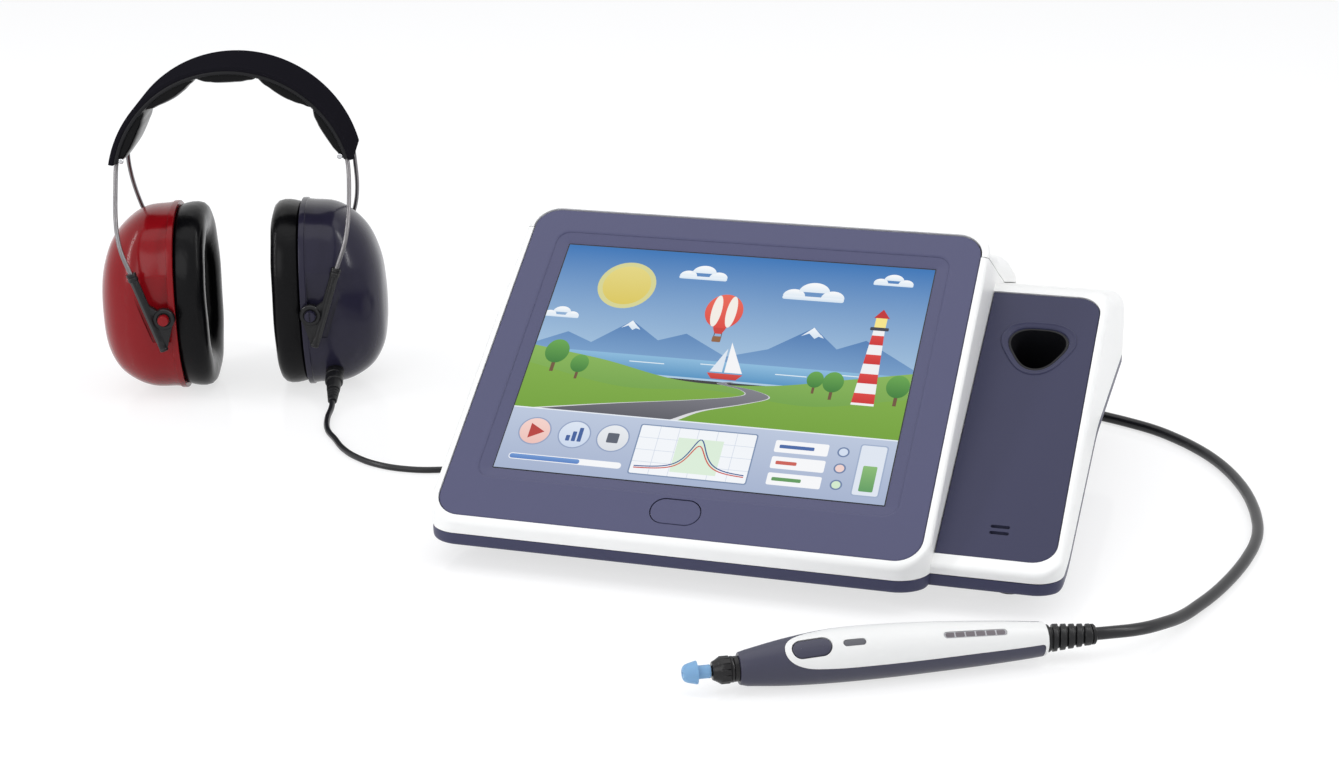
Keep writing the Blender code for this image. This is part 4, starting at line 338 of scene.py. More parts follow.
probe_tail = smooth_route([*reversed(coil_lead(probe_coil[::-1], probe_lead)), *probe_tail_route,
                           (probe_socket_side, plug_back + plug_length + seat_gap + probe_lead, socket_rise),
                           (probe_socket_side, plug_back + plug_length + seat_gap, socket_rise)], 15.0 * mm)
probe_line = [*probe_run, *probe_coil, *probe_tail]
probe_cord = free_cord("probe_cord_line", probe_line, probe_cord_radius)
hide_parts("probe_cord", "probe_cord_coil", "probe_cord_tail")

headset_place = (-288.0 * mm, 121.0 * mm)
headset_yaw = 20.0 * degree
headset_frame = Matrix.Translation((*headset_place, 0.0)) @ Matrix.Rotation(headset_yaw, 4, "Z")
gland_fall = 20.0 * degree
gland_exit = Vector((46.0 * mm, -51.0 * mm, 4.6 * mm))
gland_direction = Vector((0.0, -math.cos(gland_fall), -math.sin(gland_fall)))
gland_mouth = gland_exit + gland_direction * seat_gap
headset_lead = headset_cord_radius * 2
headset_cord_route = in_metres(((-219.5, 64.0), (-209.0, 49.5), (-196.5, 34.5), (-183.0, 24.5), (-164.0, 18.0),
                                (-142.0, 21.0), (-125.0, 33.0), (-117.0, 56.0), (-115.0, 90.0),
                                (-116.0, 125.0), (-113.0, 156.0), (-103.0, 180.0), (-91.5, 198.0)))
headset_tail_route = in_metres(((-85.0, 230.0, 4.0), (-74.0, 245.0, 1.6), (-55.0, 249.0, 1.5),
                                (-36.0, 238.0, 1.5), (-29.0, 212.0, 3.5), (-38.0, 172.0, 16.0)))
headset_coil = coil_points((-62.0 * mm, 214.0 * mm), 18.0 * mm, 8, headset_cord_radius, math.pi, -1)
jack_mouth = plug_back + plug_length * 0.8 + seat_gap
headset_run = smooth_route([headset_frame @ gland_mouth,
                            headset_frame @ (gland_mouth + gland_direction * headset_lead),
                            *on_table(headset_cord_route, headset_cord_radius),
                            *coil_lead(headset_coil, headset_lead)], 15.0 * mm)
headset_tail = smooth_route([*reversed(coil_lead(headset_coil[::-1], headset_lead)), *headset_tail_route,
                             (headset_socket_side, jack_mouth + headset_lead, socket_rise),
                             (headset_socket_side, jack_mouth, socket_rise)], 15.0 * mm)
headset_line = [*headset_run, *headset_coil, *headset_tail]
headset_cord = free_cord("headset_cord_line", headset_line, headset_cord_radius)
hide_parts("headset_cord", "headset_cord_coil", "headset_cord_tail")


# White housing. Injection-moulded ABS in a fine spark-eroded texture: the main section carries the
# screen, the lower section on the right carries the probe. Both sit on the base tray, held by screws
# from below. The outlines run from front to back and draw in round each side wall.
screen_tilt = 33.4 * degree
section_tilt = 26.09 * degree
screen_rise = 71.5 * mm
section_rise = 52.9 * mm
body_half_width = 107.5 * mm
section_right = 159.5 * mm
body_back = 165.0 * mm
lip_reach = 86.5 * mm
front_reach = 94.5 * mm
rim_top = 2.3 * mm
rim_proud = 0.3 * mm
edge_round = 2.2 * mm
section_edge = 3.0 * mm
shoulder_round = 7.0 * mm
shell_wall = 2.5 * mm
hinge_back = 155.0 * mm
hinge_radius = 3.1 * mm
lid_gap = 0.4 * mm
body_corner = 14.0 * mm
section_corner = 12.0 * mm
back_corner = 11.0 * mm
rim_edge = 1.9 * mm
seam_low = 15.8 * mm
seam_high = 41.6 * mm
lip_depth = 13.0 * mm
power_key_place = -78.4 * mm
power_key_room = (22.2 * mm, 13.0 * mm)
well_middle = (131.8 * mm, 54.2 * mm)
well_half = (11.6 * mm, 12.0 * mm)
weld_distance = 0.002 * mm
through = (-12.0 * mm, 12.0 * mm)
screen_frame = device_frame @ Matrix.Translation((0, 0, screen_rise)) @ Matrix.Rotation(screen_tilt, 4, "X")
section_frame = device_frame @ Matrix.Translation((0, 0, section_rise)) @ Matrix.Rotation(section_tilt, 4, "X")
screen_place = device_frame.inverted() @ screen_frame
section_place = device_frame.inverted() @ section_frame
side_view = Matrix(((0, 0, 1, 0), (1, 0, 0, 0), (0, 1, 0, 0), (0, 0, 0, 1)))
front_view = Matrix.Rotation(math.pi / 2, 4, "X")
along_x = Matrix.Rotation(math.pi / 2, 4, "Y")
along_y = Matrix.Rotation(-math.pi / 2, 4, "X")


def on_slope(tilt, rise, along, above):
    """A point of the side view given along a tilted plane and above it."""
    return (along * math.cos(tilt) - above * math.sin(tilt),
            rise + along * math.sin(tilt) + above * math.cos(tilt))


def on_screen(along, above):
    return on_slope(screen_tilt, screen_rise, along, above)


def on_section(along, above):
    return on_slope(section_tilt, section_rise, along, above)


body_front = on_screen(-front_reach, rim_top)[0]
section_front = body_front + 11.16 * mm
roof_start = (84.0 * mm, 106.5 * mm)
section_roof_start = (84.0 * mm, on_section(90.6 * mm, rim_proud)[1] + 0.3 * mm)
section_roof_fall = (section_roof_start[1] - 70.6 * mm) / (163.5 * mm - 84.0 * mm)


def deck(back):
    """Height of the deck under the printer lid."""
    return section_roof_start[1] + 0.3 * mm - section_roof_fall * (back - section_roof_start[0])


deck_slope = math.atan(section_roof_fall)
hinge_rise = deck(hinge_back) + (hinge_radius + lid_gap) / math.cos(deck_slope)
roof_end = (hinge_back, hinge_rise + hinge_radius)
roof_line = [roof_start, *((roof_start[0] + back_share * (roof_end[0] - roof_start[0]),
                            roof_start[1] - fall_share * (roof_start[1] - roof_end[1]))
                           for back_share, fall_share in ((0.35, 0.25), (0.70, 0.56))), roof_end]


def eased(knots, value):
    """A smooth curve through knots of (place, height)."""
    last = len(knots) - 1
    for index in range(last):
        if value <= knots[index + 1][0] or index == last - 1:
            break
    (a, low), (b, high) = knots[index], knots[index + 1]
    before = knots[index - 1] if index else knots[0]
    after = knots[index + 2] if index + 2 <= last else knots[last]
    first = (high - before[1]) / (b - before[0]) * (b - a)
    second = (after[1] - low) / (after[0] - a) * (b - a)
    t = (value - a) / (b - a)
    return ((2 * t ** 3 - 3 * t ** 2 + 1) * low + (t ** 3 - 2 * t ** 2 + t) * first
            + (3 * t ** 2 - 2 * t ** 3) * high + (t ** 3 - t ** 2) * second)


def draw_in(radius, depth):
    """How far a round corner has drawn in at a depth inside the side wall."""
    left = radius - min(depth, radius)
    return radius - math.sqrt(radius * radius - left * left)


def bend(start, corner, end, steps=5):
    """Points that round a corner."""
    return [tuple((1 - t) ** 2 * a + 2 * t * (1 - t) * b + t * t * c for a, b, c in zip(start, corner, end))
            for t in (index / steps for index in range(steps + 1))]


def seam(front, lift, back):
    """The parting line of housing and base: low in front, high along the back half."""
    climb = [*bend((-50.0 * mm, seam_low), (-42.0 * mm, seam_low), (-34.0 * mm, 18.04 * mm), 4),
             *bend((42.0 * mm, 39.36 * mm), (50.0 * mm, seam_high), (58.0 * mm, seam_high), 4)]
    return [(front, seam_low + lift), *((place, rise + lift) for place, rise in climb), (back, seam_high + lift)]


def main_outline(depth):
    """Side outline of the main section at a depth inside its side wall."""
    front = body_front + draw_in(body_corner, depth)
    back = body_back - draw_in(back_corner, depth)
    reach = lip_reach - draw_in(12.0 * mm, depth)
    drop = draw_in(edge_round, depth)
    level = rim_top - drop
    first = front / math.cos(screen_tilt) + level * math.tan(screen_tilt)
    rim = on_screen(first, level)
    lip = on_screen(reach, level - rim_edge)
    points = [*reversed(seam(front, 0.0, back)),
              *bend((front, rim[1] - rim_edge), rim, on_screen(first + rim_edge, level)),
              *bend(on_screen(reach - rim_edge, level), on_screen(reach, level), lip)]
    foot = on_screen(reach, rim_top - lip_depth + 0.72 * (lip_reach - reach))
    end = hinge_back - draw_in(back_corner, depth)
    start_roof = (roof_start[0], roof_start[1] - drop)
    points += bend(tuple(0.6 * a + 0.4 * b for a, b in zip(foot, lip)), foot,
                   tuple(0.45 * a + 0.55 * b for a, b in zip(foot, start_roof)), 4)
    for index in range(9):
        place = roof_start[0] + index / 8 * (end - roof_start[0])
        fuller = min(1.0, index / 2) * max(0.0, draw_in(shoulder_round, depth) - drop)
        points.append((place, eased(roof_line, place) - drop - fuller))
    last = eased(roof_line, end) - fuller
    points += bend((end + (back - end) * 0.25, last - 0.7 * mm - drop),
                   (back, (last + 73.0 * mm) / 2 - drop), (back, 73.0 * mm - hinge_radius - fuller - drop))
    return points


def section_outline(depth):
    """The same for the lower section, which lies 0.05 mm off the main one where they run together."""
    front = section_front + draw_in(section_corner, depth)
    back = body_back - 0.05 * mm - draw_in(back_corner, depth)
    drop = draw_in(section_edge, depth)
    fuller = max(0.0, draw_in(shoulder_round + 1.0 * mm, depth) - drop)
    level = rim_proud - drop
    first = front / math.cos(section_tilt) + level * math.tan(section_tilt)
    rim = on_section(first, level)
    roof, roof_top = section_roof_start

    def fall(place):
        return roof_top - section_roof_fall * (place - roof) - drop - fuller

    return [*reversed(seam(front, 0.05 * mm, back)),
            *bend((front, rim[1] - rim_edge), rim, on_section(first + rim_edge, level)),
            on_section(80.0 * mm, level), on_section(87.5 * mm, level - 0.25 * fuller),
            (roof + 1.0 * mm, roof_top - drop - 0.1 * mm - 0.6 * fuller), (roof + 8.0 * mm, fall(roof + 8.0 * mm)),
            *bend((back - 9.0 * mm, fall(back - 9.0 * mm)), (back, fall(back)), (back, fall(back) - 9.0 * mm))]


def bridged(rings, closed=False):
    """Bridges rings of points, all of one count, and caps the two ends of an open run."""
    bm = bmesh.new()
    loops = []
    for ring in rings:
        spots = [bm.verts.new(point) for point in ring]
        loops.append([bm.edges.new(pair) for pair in zip(spots, spots[1:] + spots[:1])])
    for first, second in zip(loops, loops[1:] + loops[:1] if closed else loops[1:]):
        bmesh.ops.bridge_loops(bm, edges=first + second)
    if not closed:
        for loop in (loops[0], loops[-1]):
            bmesh.ops.contextual_create(bm, geom=loop)
    bmesh.ops.recalc_face_normals(bm, faces=bm.faces)
    return bm


def side_steps(corner):
    """Depths inside a side wall at which its outline is taken, close together near the wall."""
    fine = [edge_round * (1 - math.cos(step * math.pi / 12)) for step in range(7)]
    start = math.acos(1 - edge_round / corner)
    return fine + [corner * (1 - math.cos(start + (math.pi / 2 - start) * step / 9)) for step in range(1, 10)]


def main_body():
    depths = side_steps(body_corner)
    rings = [[(depth - body_half_width, *point) for point in main_outline(depth)] for depth in depths]
    rings += [[(body_half_width - depth, *point) for point in main_outline(depth)] for depth in reversed(depths)]
    return bridged(rings)


def plate(points, low, high, view=Matrix.Identity(4)):
    """Extrudes a closed flat outline from low to high, then turns it into the given view."""
    bm = bmesh.new()
    face = bm.faces.new([bm.verts.new((first, second, low)) for first, second in points])
    raised = bmesh.ops.extrude_face_region(bm, geom=[face])["geom"]
    bmesh.ops.translate(bm, verts=[item for item in raised if isinstance(item, bmesh.types.BMVert)],
                        vec=(0.0, 0.0, high - low))
    bmesh.ops.transform(bm, matrix=view, verts=bm.verts)
    bmesh.ops.recalc_face_normals(bm, faces=bm.faces)
    return bm


def moved(bm, place):
    bmesh.ops.transform(bm, matrix=place, verts=bm.verts)
    return bm


def block(low, high):
    bm = bmesh.new()
    bmesh.ops.create_cube(bm, size=1.0)
    bmesh.ops.scale(bm, vec=Vector(high) - Vector(low), verts=bm.verts)
    bmesh.ops.translate(bm, verts=bm.verts, vec=(Vector(high) + Vector(low)) / 2)
    return bm


def softened(bm, edges, offset, segments=4):
    """Rounds the given edges off."""
    bmesh.ops.bevel(bm, geom=edges, offset=offset, offset_type="OFFSET", segments=segments, profile=0.5,
                    affect="EDGES", material=-1)


def edges_above(bm, level):
    return [edge for edge in bm.edges if min(vertex.co.z for vertex in edge.verts) > level]


def carved(body, *steps):
    """Cuts, joins or keeps bodies in turn. Each step is an operation and a body, used up here."""
    items = []
    for bm in (body, *(other for operation, other in steps)):
        mesh = bpy.data.meshes.new("carving")
        bm.to_mesh(mesh)
        bm.free()
        items.append(bpy.data.objects.new("carving", mesh))
        collection.objects.link(items[-1])
    for item, (operation, other) in zip(items[1:], steps):
        modifier = items[0].modifiers.new("carving", "BOOLEAN")
        modifier.operation = operation
        modifier.solver = "EXACT"
        modifier.object = item
    bpy.context.view_layer.update()
    result = bpy.data.meshes.new_from_object(items[0].evaluated_get(bpy.context.evaluated_depsgraph_get()))
    bm = bmesh.new()
    bm.from_mesh(result)
    for item in items:
        bpy.data.objects.remove(item, do_unlink=True)
    bmesh.ops.remove_doubles(bm, verts=bm.verts, dist=weld_distance)
    return bm


def cuts(*rooms):
    """Steps that cut each of the rooms away."""
    return [("DIFFERENCE", room) for room in rooms]


def stacked(outline, rows):
    """Bridges rings of an outline: outline(step) at a height in mm, for each row of (step, height)."""
    return bridged([[(*point, height * mm) for point in outline(step)] for step, height in rows])


def taken_in(whole, part):
    """Adds a form to another one and uses it up."""
    mesh = bpy.data.meshes.new("part")
    part.to_mesh(mesh)
    part.free()
    whole.from_mesh(mesh)
    bpy.data.meshes.remove(mesh)


def made(name, bm, finish, body, stands_for=(), place=device_frame, sharp=32.0, even=True):
    """Puts a finished mesh in the scene at its place, with its finish and body, and hides the CAD nodes it stands
    for.
    """
    bmesh.ops.transform(bm, matrix=place, verts=bm.verts)
    mesh = bpy.data.meshes.new(name)
    bm.to_mesh(mesh)
    bm.free()
    mesh.shade_smooth()
    mesh.set_sharp_from_angle(angle=sharp * degree)
    for material in finish if isinstance(finish, (list, tuple)) else [finish]:
        mesh.materials.append(material)
    piece = bpy.data.objects.new(name, mesh)
    collection.objects.link(piece)
    if even:
        weighted = piece.modifiers.new("even_shading", "WEIGHTED_NORMAL")
        weighted.keep_sharp = True
        weighted.weight = 80
    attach(piece, body)
    if stands_for:
        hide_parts(*stands_for)
    return piece


def rounded_rectangle(left, right, front, back, radii, steps=8):
    """Corner radii in the order front left, front right, back right, back left."""
    points = []
    for (across, along, step_x, step_y, start), radius in zip(
            ((left, front, 1, 1, 180.0), (right, front, -1, 1, 270.0), (right, back, -1, -1, 0.0),
             (left, back, 1, -1, 90.0)), radii):
        if radius <= 0.0:
            points.append((across, along))
            continue
        for index in range(steps + 1):
            angle = (start + 90.0 * index / steps) * degree
            points.append((across + radius * (step_x + math.cos(angle)),
                           along + radius * (step_y + math.sin(angle))))
    return points


def racetrack(centre_x, centre_y, length, width, steps=10):
    """A long shape with round ends. The radius stays a hair under half the width, so no edge has no length."""
    return rounded_rectangle(centre_x - length / 2, centre_x + length / 2, centre_y - width / 2,
                             centre_y + width / 2, (width / 2 * 0.999,) * 4, steps)


lid_bend = 112.0 * mm
reach_out = 12.0 * mm


def lid_space(gap, sweep=170.0):
    """The space of the printer lid, from the step behind the screen round the hinge by a sweep."""
    radius = hinge_radius + lid_gap - gap
    start = on_screen(71.0 * mm + gap, rim_top - 0.3 * mm)
    rise = gap * 1.15
    points = [on_screen(71.0 * mm + gap, rim_top + reach_out), (start[0], start[1] + rise * 0.2),
              (lid_bend, deck(lid_bend) + rise)]
    first = -90.0 * degree - deck_slope
    for index in range(13):
        angle = first + index * (sweep * degree + deck_slope) / 12
        points.append((hinge_back + radius * math.cos(angle), hinge_rise + radius * math.sin(angle)))
    points += [(points[-1][0], 130.0 * mm), (points[0][0], 130.0 * mm)]
    return plate(points, -body_half_width - reach_out, body_half_width + reach_out, side_view)


def neck_space(gap):
    """The block under the bezel's back edge, which stays with the housing."""
    half = 104.0 * mm + gap
    corner = 11.0 * mm + gap
    bm = plate(rounded_rectangle(-half, half, 0.0, 83.0 * mm + gap, (0.0, 0.0, corner, corner), 10), -39.0 * mm,
               rim_top + reach_out)
    return moved(bm, screen_place)


def turned(profile, steps=48, view=Matrix.Identity(4), place=(0.0, 0.0, 0.0)):
    """Spins a profile of (radius, height) about its axis. It closes where the radius is zero."""
    bm = bmesh.new()
    spots = [bm.verts.new((radius, 0.0, height)) for radius, height in profile]
    edges = [bm.edges.new(pair) for pair in zip(spots, spots[1:])]
    if profile[0][0] > 0.0:
        edges.append(bm.edges.new((spots[-1], spots[0])))
    bmesh.ops.spin(bm, geom=spots + edges, axis=(0.0, 0.0, 1.0), cent=(0.0, 0.0, 0.0), steps=steps,
                   angle=2 * math.pi, use_merge=True)
    bmesh.ops.remove_doubles(bm, verts=bm.verts, dist=weld_distance)
    bmesh.ops.recalc_face_normals(bm, faces=bm.faces)
    bmesh.ops.transform(bm, matrix=Matrix.Translation(place) @ view, verts=bm.verts)
    return bm


def holder_outline(grow, count=60):
    """The probe well's rounded triangle, its broad side to the back, grown evenly by a margin."""
    points = []
    for index in range(count):
        angle = 2 * math.pi * index / count
        swell = 1.0 + 0.098 * math.sin(3 * angle)
        points.append((well_middle[0] + (well_half[0] + grow) * math.cos(angle) * swell,
                       well_middle[1] + (well_half[1] + grow) * math.sin(angle) * swell))
    return points


white_plastic = moulded("white_plastic", srgb(244, 244, 242), (0.34, 0.44), 0.02, 2600.0, 0.010, specular=0.3)
section_rings = [[(100.5 * mm, *point) for point in section_outline(section_corner)]]
section_rings += [[(section_right - depth, *point) for point in section_outline(depth)]
                  for depth in reversed(side_steps(section_corner))]
seam_start = on_screen(71.0 * mm, rim_top)
seam_fall = (seam_start[1] - deck(lid_bend)) / (lid_bend - seam_start[0])
under = shell_wall * 1.1
inner_front = body_front + shell_wall
inner_back = body_back - shell_wall
inner_base = screen_rise - shell_wall / math.cos(screen_tilt)
rising = math.tan(screen_tilt)
meet = (seam_start[1] - under + seam_fall * seam_start[0] - inner_base) / (rising + seam_fall)
void_front = inner_front + 6 * mm
void_back = inner_back - 6 * mm
main_void = plate([(void_front, -reach_out), (void_front, inner_base + rising * void_front),
                   (meet, inner_base + rising * meet), (lid_bend, deck(lid_bend) - under),
                   (void_back, deck(void_back) - under), (void_back, -reach_out)], -100.0 * mm, 100.0 * mm, side_view)
deck_opening = block((-54.0 * mm, 101.0 * mm, 44.0 * mm), (54.0 * mm, 146.0 * mm, 106.5 * mm))
recess = plate(rounded_rectangle(-104.3 * mm, 104.3 * mm, -91.3 * mm, 83.3 * mm, (11.3 * mm,) * 4, 10),
               0.0, rim_top + reach_out)
glass_recess = block((-92.5 * mm, -71.2 * mm, -2.8 * mm), (92.5 * mm, 71.2 * mm, 3.0 * mm))
panel_recess = plate(rounded_rectangle(107.45 * mm, 156.2 * mm, -70.1 * mm, 87.3 * mm,
                                       (0.0, 10.3 * mm, 10.3 * mm, 0.0), 10), -2.3 * mm, 1.8 * mm)
well_room = plate(holder_outline(1.7 * mm), -50.0 * mm, 12.0 * mm)
button_room = plate(racetrack(0.0, power_key_place, *power_key_room), *through)
ear_places = (-60.0 * mm, 60.0 * mm)
ear_radius = hinge_radius - 0.3 * mm
ear_ends = (hinge_back - ear_radius, hinge_back + ear_radius)
ear_turns = [turn * degree for turn in range(0, 181, 15)]
ear_outline = [*((place, deck(place) - shell_wall / 2) for place in ear_ends),
               *((hinge_back + ear_radius * math.cos(turn), hinge_rise + ear_radius * math.sin(turn))
                 for turn in ear_turns)]
ears = [("UNION", plate(ear_outline, centre - 3.0 * mm, centre + 3.0 * mm, side_view)) for centre in ear_places]
rod_room = turned(in_metres(((0.0, -76.0), (1.5, -76.0), (1.5, 76.0), (0.0, 76.0))), 24, along_x,
                  (0.0, hinge_back, hinge_rise))
lid_room = carved(lid_space(0.0, 104.0), *cuts(neck_space(0.0)))
housing = carved(main_body(), ("UNION", bridged(section_rings)),
                 *cuts(lid_room, main_void, moved(recess, screen_place), moved(glass_recess, screen_place),
                       moved(button_room, screen_place), moved(panel_recess, section_place),
                       moved(well_room, section_place), deck_opening), *ears, *cuts(rod_room.copy()))
made("white_housing", housing, white_plastic, "base", ("top_housing",))


# Printer lid. A moulded cover of the same white ABS behind the screen. It turns back on a steel rod
# held by two ears of the housing, and the printed strip leaves through the slot in its roof.
lid_keep = carved(lid_space(lid_gap), *cuts(neck_space(0.5 * mm)))
lid_void_front = on_screen(lip_reach, rim_top - lip_depth)[0] + shell_wall
lid_void_back = hinge_back - hinge_radius - shell_wall
lid_void = plate([(lid_void_front, 44.0 * mm), *((place, eased(roof_line, place) - 2.75 * mm) for place in (
    lid_void_front + (lid_void_back - lid_void_front) * index / 8 for index in range(9))),
                  (lid_void_back, 44.0 * mm)], -102.0 * mm, 102.0 * mm, side_view)
strip_slot = block((-52.0 * mm, 95.5 * mm, deck(97.0 * mm)), (52.0 * mm, 98.5 * mm, 120.0 * mm))
ear_rooms = [block((centre - 3.3 * mm, lid_void_back - 0.3 * mm, 44.0 * mm),
                   (centre + 3.3 * mm, body_back, 120.0 * mm)) for centre in ear_places]
lid = carved(main_body(), ("INTERSECT", lid_keep), *cuts(lid_void, strip_slot, *ear_rooms, rod_room))
made("white_lid", lid, white_plastic, "printer_lid_group", ("printer_lid",))


# Base tray. Moulded in slate-blue ABS: a rounded band that follows the parting line, and a flat tub
# with the electronics. Four rubber feet are glued under it and two screws hold it to the housing.
slate_dark = moulded("slate_band", srgb(64, 65, 90), (0.36, 0.46), 0.06, 2200.0, 0.012)


def band_outline(front, depth, corner, step):
    """Side outline of the band at a depth inside the side wall."""
    near_front = front + draw_in(corner, depth)
    near_back = body_back - step - draw_in(back_corner, depth)
    top = seam(near_front, -0.3 * mm - step, near_back)
    low = seam(near_front, -5.9 * mm + step, near_back)
    lift = draw_in(low_round, depth)
    bottom = [(place, rise + lift) for place, rise in low]
    foot = low[0][1] + lift
    front_round = bend((near_front, low[0][1] + low_round + lift), (near_front, foot), (near_front + low_round, foot))
    return [*top, *reversed(bottom[1:]), *reversed(front_round)]


def band_body(left, right, front, corner, round_left=True, step=0.0):
    """The band from its left to its right end. A left end that isn't round runs into the other band."""
    depths = side_steps(corner)
    left_ends = [(left + depth, depth) for depth in depths] if round_left else [(left, 99.0)]
    return bridged([[(across, *point) for point in band_outline(front, depth, corner, step)] for across, depth in (
        *left_ends, *((right - depth, depth) for depth in reversed(depths)))])


low_round = 2.4 * mm
tub = plate(in_metres(((-53.159, 3.3), (113.0, 3.3), (113.0, 41.0), (50.0, 41.0), (-42.0, 15.1), (-53.159, 15.1))),
            -96.5 * mm, 148.5 * mm, side_view)
softened(tub, [edge for edge in tub.edges if max(vertex.co.z for vertex in edge.verts) < 3.4 * mm], low_round, 5)
tub_void = block(*in_metres(((-94.1, -50.76, 5.7), (146.1, 110.6, 60.0))))
screw_profile = in_metres(((0.0, 12.0), (1.7, 12.0), (1.7, 2.4), (3.3, 2.4), (3.3, -9.0), (0.0, -9.0)))
screw_rooms = [turned(screw_profile, 32, place=(across * mm, -41.459 * mm, 3.3 * mm)) for across in (-67.9, 119.9)]
base = carved(band_body(-body_half_width, body_half_width, body_front, body_corner),
              ("UNION", band_body(80.0 * mm, section_right, section_front, section_corner, False, 0.05 * mm)),
              ("UNION", tub), *cuts(tub_void, *screw_rooms))
made("base_tray_shell", base, slate_dark, "base", ("base_tray",))
foot_rubber = moulded("foot_rubber", srgb(38, 38, 40), (0.6, 0.72), 0.08, 1800.0, 0.03)
dress(foot_rubber, "foot_front_left", "foot_front_right", "foot_rear_left", "foot_rear_right")


# Electronics and air system in the tray: a green circuit board on posts, a steel diaphragm pump, a
# brass-barbed valve block, a small speaker, and behind them a black connector plate with its sockets.
bright_steel = moulded("bright_steel", srgb(196, 197, 200), (0.16, 0.24), 0.05, 700.0, 0.006, metallic=1.0)
black_plastic = moulded("black_plastic", srgb(30, 30, 33), (0.36, 0.46), 0.08, 2200.0, 0.014)
board_green = moulded("board_green", srgb(28, 92, 54), (0.3, 0.42), 0.2, 320.0, 0.02)
brass = moulded("brass", srgb(196, 164, 96), (0.2, 0.3), 0.06, 900.0, 0.006, metallic=1.0)
dress(board_green, "main_board", "probe_board")
dress(bright_steel, "pressure_pump", "case_screw_left", "case_screw_right", "lid_hinge_rod", "lcd_module",
      "probe_socket", "print_head")
dress(black_plastic, "valve_block", "alert_speaker", "rear_plate", "power_inlet", "printer_frame",
      "red_driver_plate", "blue_driver_plate")
dress(brass, "headset_socket")
dress(foot_rubber, "platen_roller")


# Thermal printer under the lid: a black cradle, a print head that presses on a rubber platen, and a
# loose roll of white paper, wound in many thin turns that show at its ends.
paper_axis = (127.5 * mm + device_shift.y, 64.5 * mm + device_shift.z)
paper = moulded("paper", srgb(240, 240, 236), (0.7, 0.8), 0.02, 500.0, 0.01)
tree = paper.node_tree
place = add_node(tree, "ShaderNodeTexCoord", -1200, -400)
centred = add_node(tree, "ShaderNodeMapping", -1000, -400,
                   {"Location": (0.0, -paper_axis[0], -paper_axis[1])})
turns = add_node(tree, "ShaderNodeTexWave", -800, -400,
                 {"Scale": 420.0, "Distortion": 0.4}, wave_type="RINGS", rings_direction="X")
join(tree, (place, "Object", centred, "Vector"), (centred, "Vector", turns, "Vector"))
tree.links.new(turns.outputs["Fac"], tree.nodes["Bump"].inputs["Height"])
tree.nodes["Bump"].inputs["Strength"].default_value = 0.5
dress(paper, "paper_roll")


# Screen bezel. A painted slate frame with round outer corners and a soft sloped step down to the
# glass. It is clipped into the housing, and has a hole for the power button.
slate = moulded("slate_bezel", srgb(80, 81, 110), (0.34, 0.42), 0.05, 2400.0, 0.010)
bezel_outer = (-104.0 * mm, 104.0 * mm, -91.0 * mm, 83.0 * mm)
bezel_top = 2.0 * mm
window_half = (85.5 * mm, 64.2 * mm)


def bezel_ring(inset):
    left, right, front, back = bezel_outer
    return rounded_rectangle(left + inset * mm, right - inset * mm, front + inset * mm, back - inset * mm,
                             ((11.0 - inset) * mm,) * 4, 10)


def window_ring(grow):
    across, along = window_half
    return rounded_rectangle(-across - grow * mm, across + grow * mm, -along - grow * mm, along + grow * mm,
                             ((0.6 + grow) * mm,) * 4, 10)


bezel = carved(stacked(bezel_ring, ((0.0, 0.05), (0.0, 1.3), (0.1, 1.62), (0.3, 1.86), (0.62, 2.0))), *cuts(
    stacked(window_ring, ((7.3, 3.0), (7.0, 2.0), (6.6, 1.98), (6.2, 1.9), (5.9, 1.76), (5.72, 1.58), (5.64, 1.4),
                          (5.3, 1.34), (1.2, 0.5), (0.6, 0.3), (0.2, 0.2), (0.0, 0.1), (0.0, -1.0))),
    plate(racetrack(0.0, power_key_place, *power_key_room, 16), *through)))
made("screen_bezel", bezel, slate, "base", ("display_bezel",), screen_frame)
power_key = plate(racetrack(0.0, power_key_place, 21.4 * mm, 12.2 * mm, 16), bezel_top - 4.0 * mm, bezel_top)
softened(power_key, edges_above(power_key, bezel_top - 0.1 * mm), 0.45 * mm)
made("power_key", power_key, slate, "power_button_group", ("power_button",), screen_frame)


# Touch screen. A sheet of glass with a black printed edge over a liquid-crystal panel, which shows a
# bright child's picture above a strip with a curve, measured bars and keys drawn without any words.
glass_black = moulded("glass_edge", srgb(14, 14, 18), (0.05, 0.09), 0.1, 200.0, 0.0, coat=0.3)
dress(glass_black, "touch_glass")
picture_half = (85.0 * mm, 63.7 * mm)


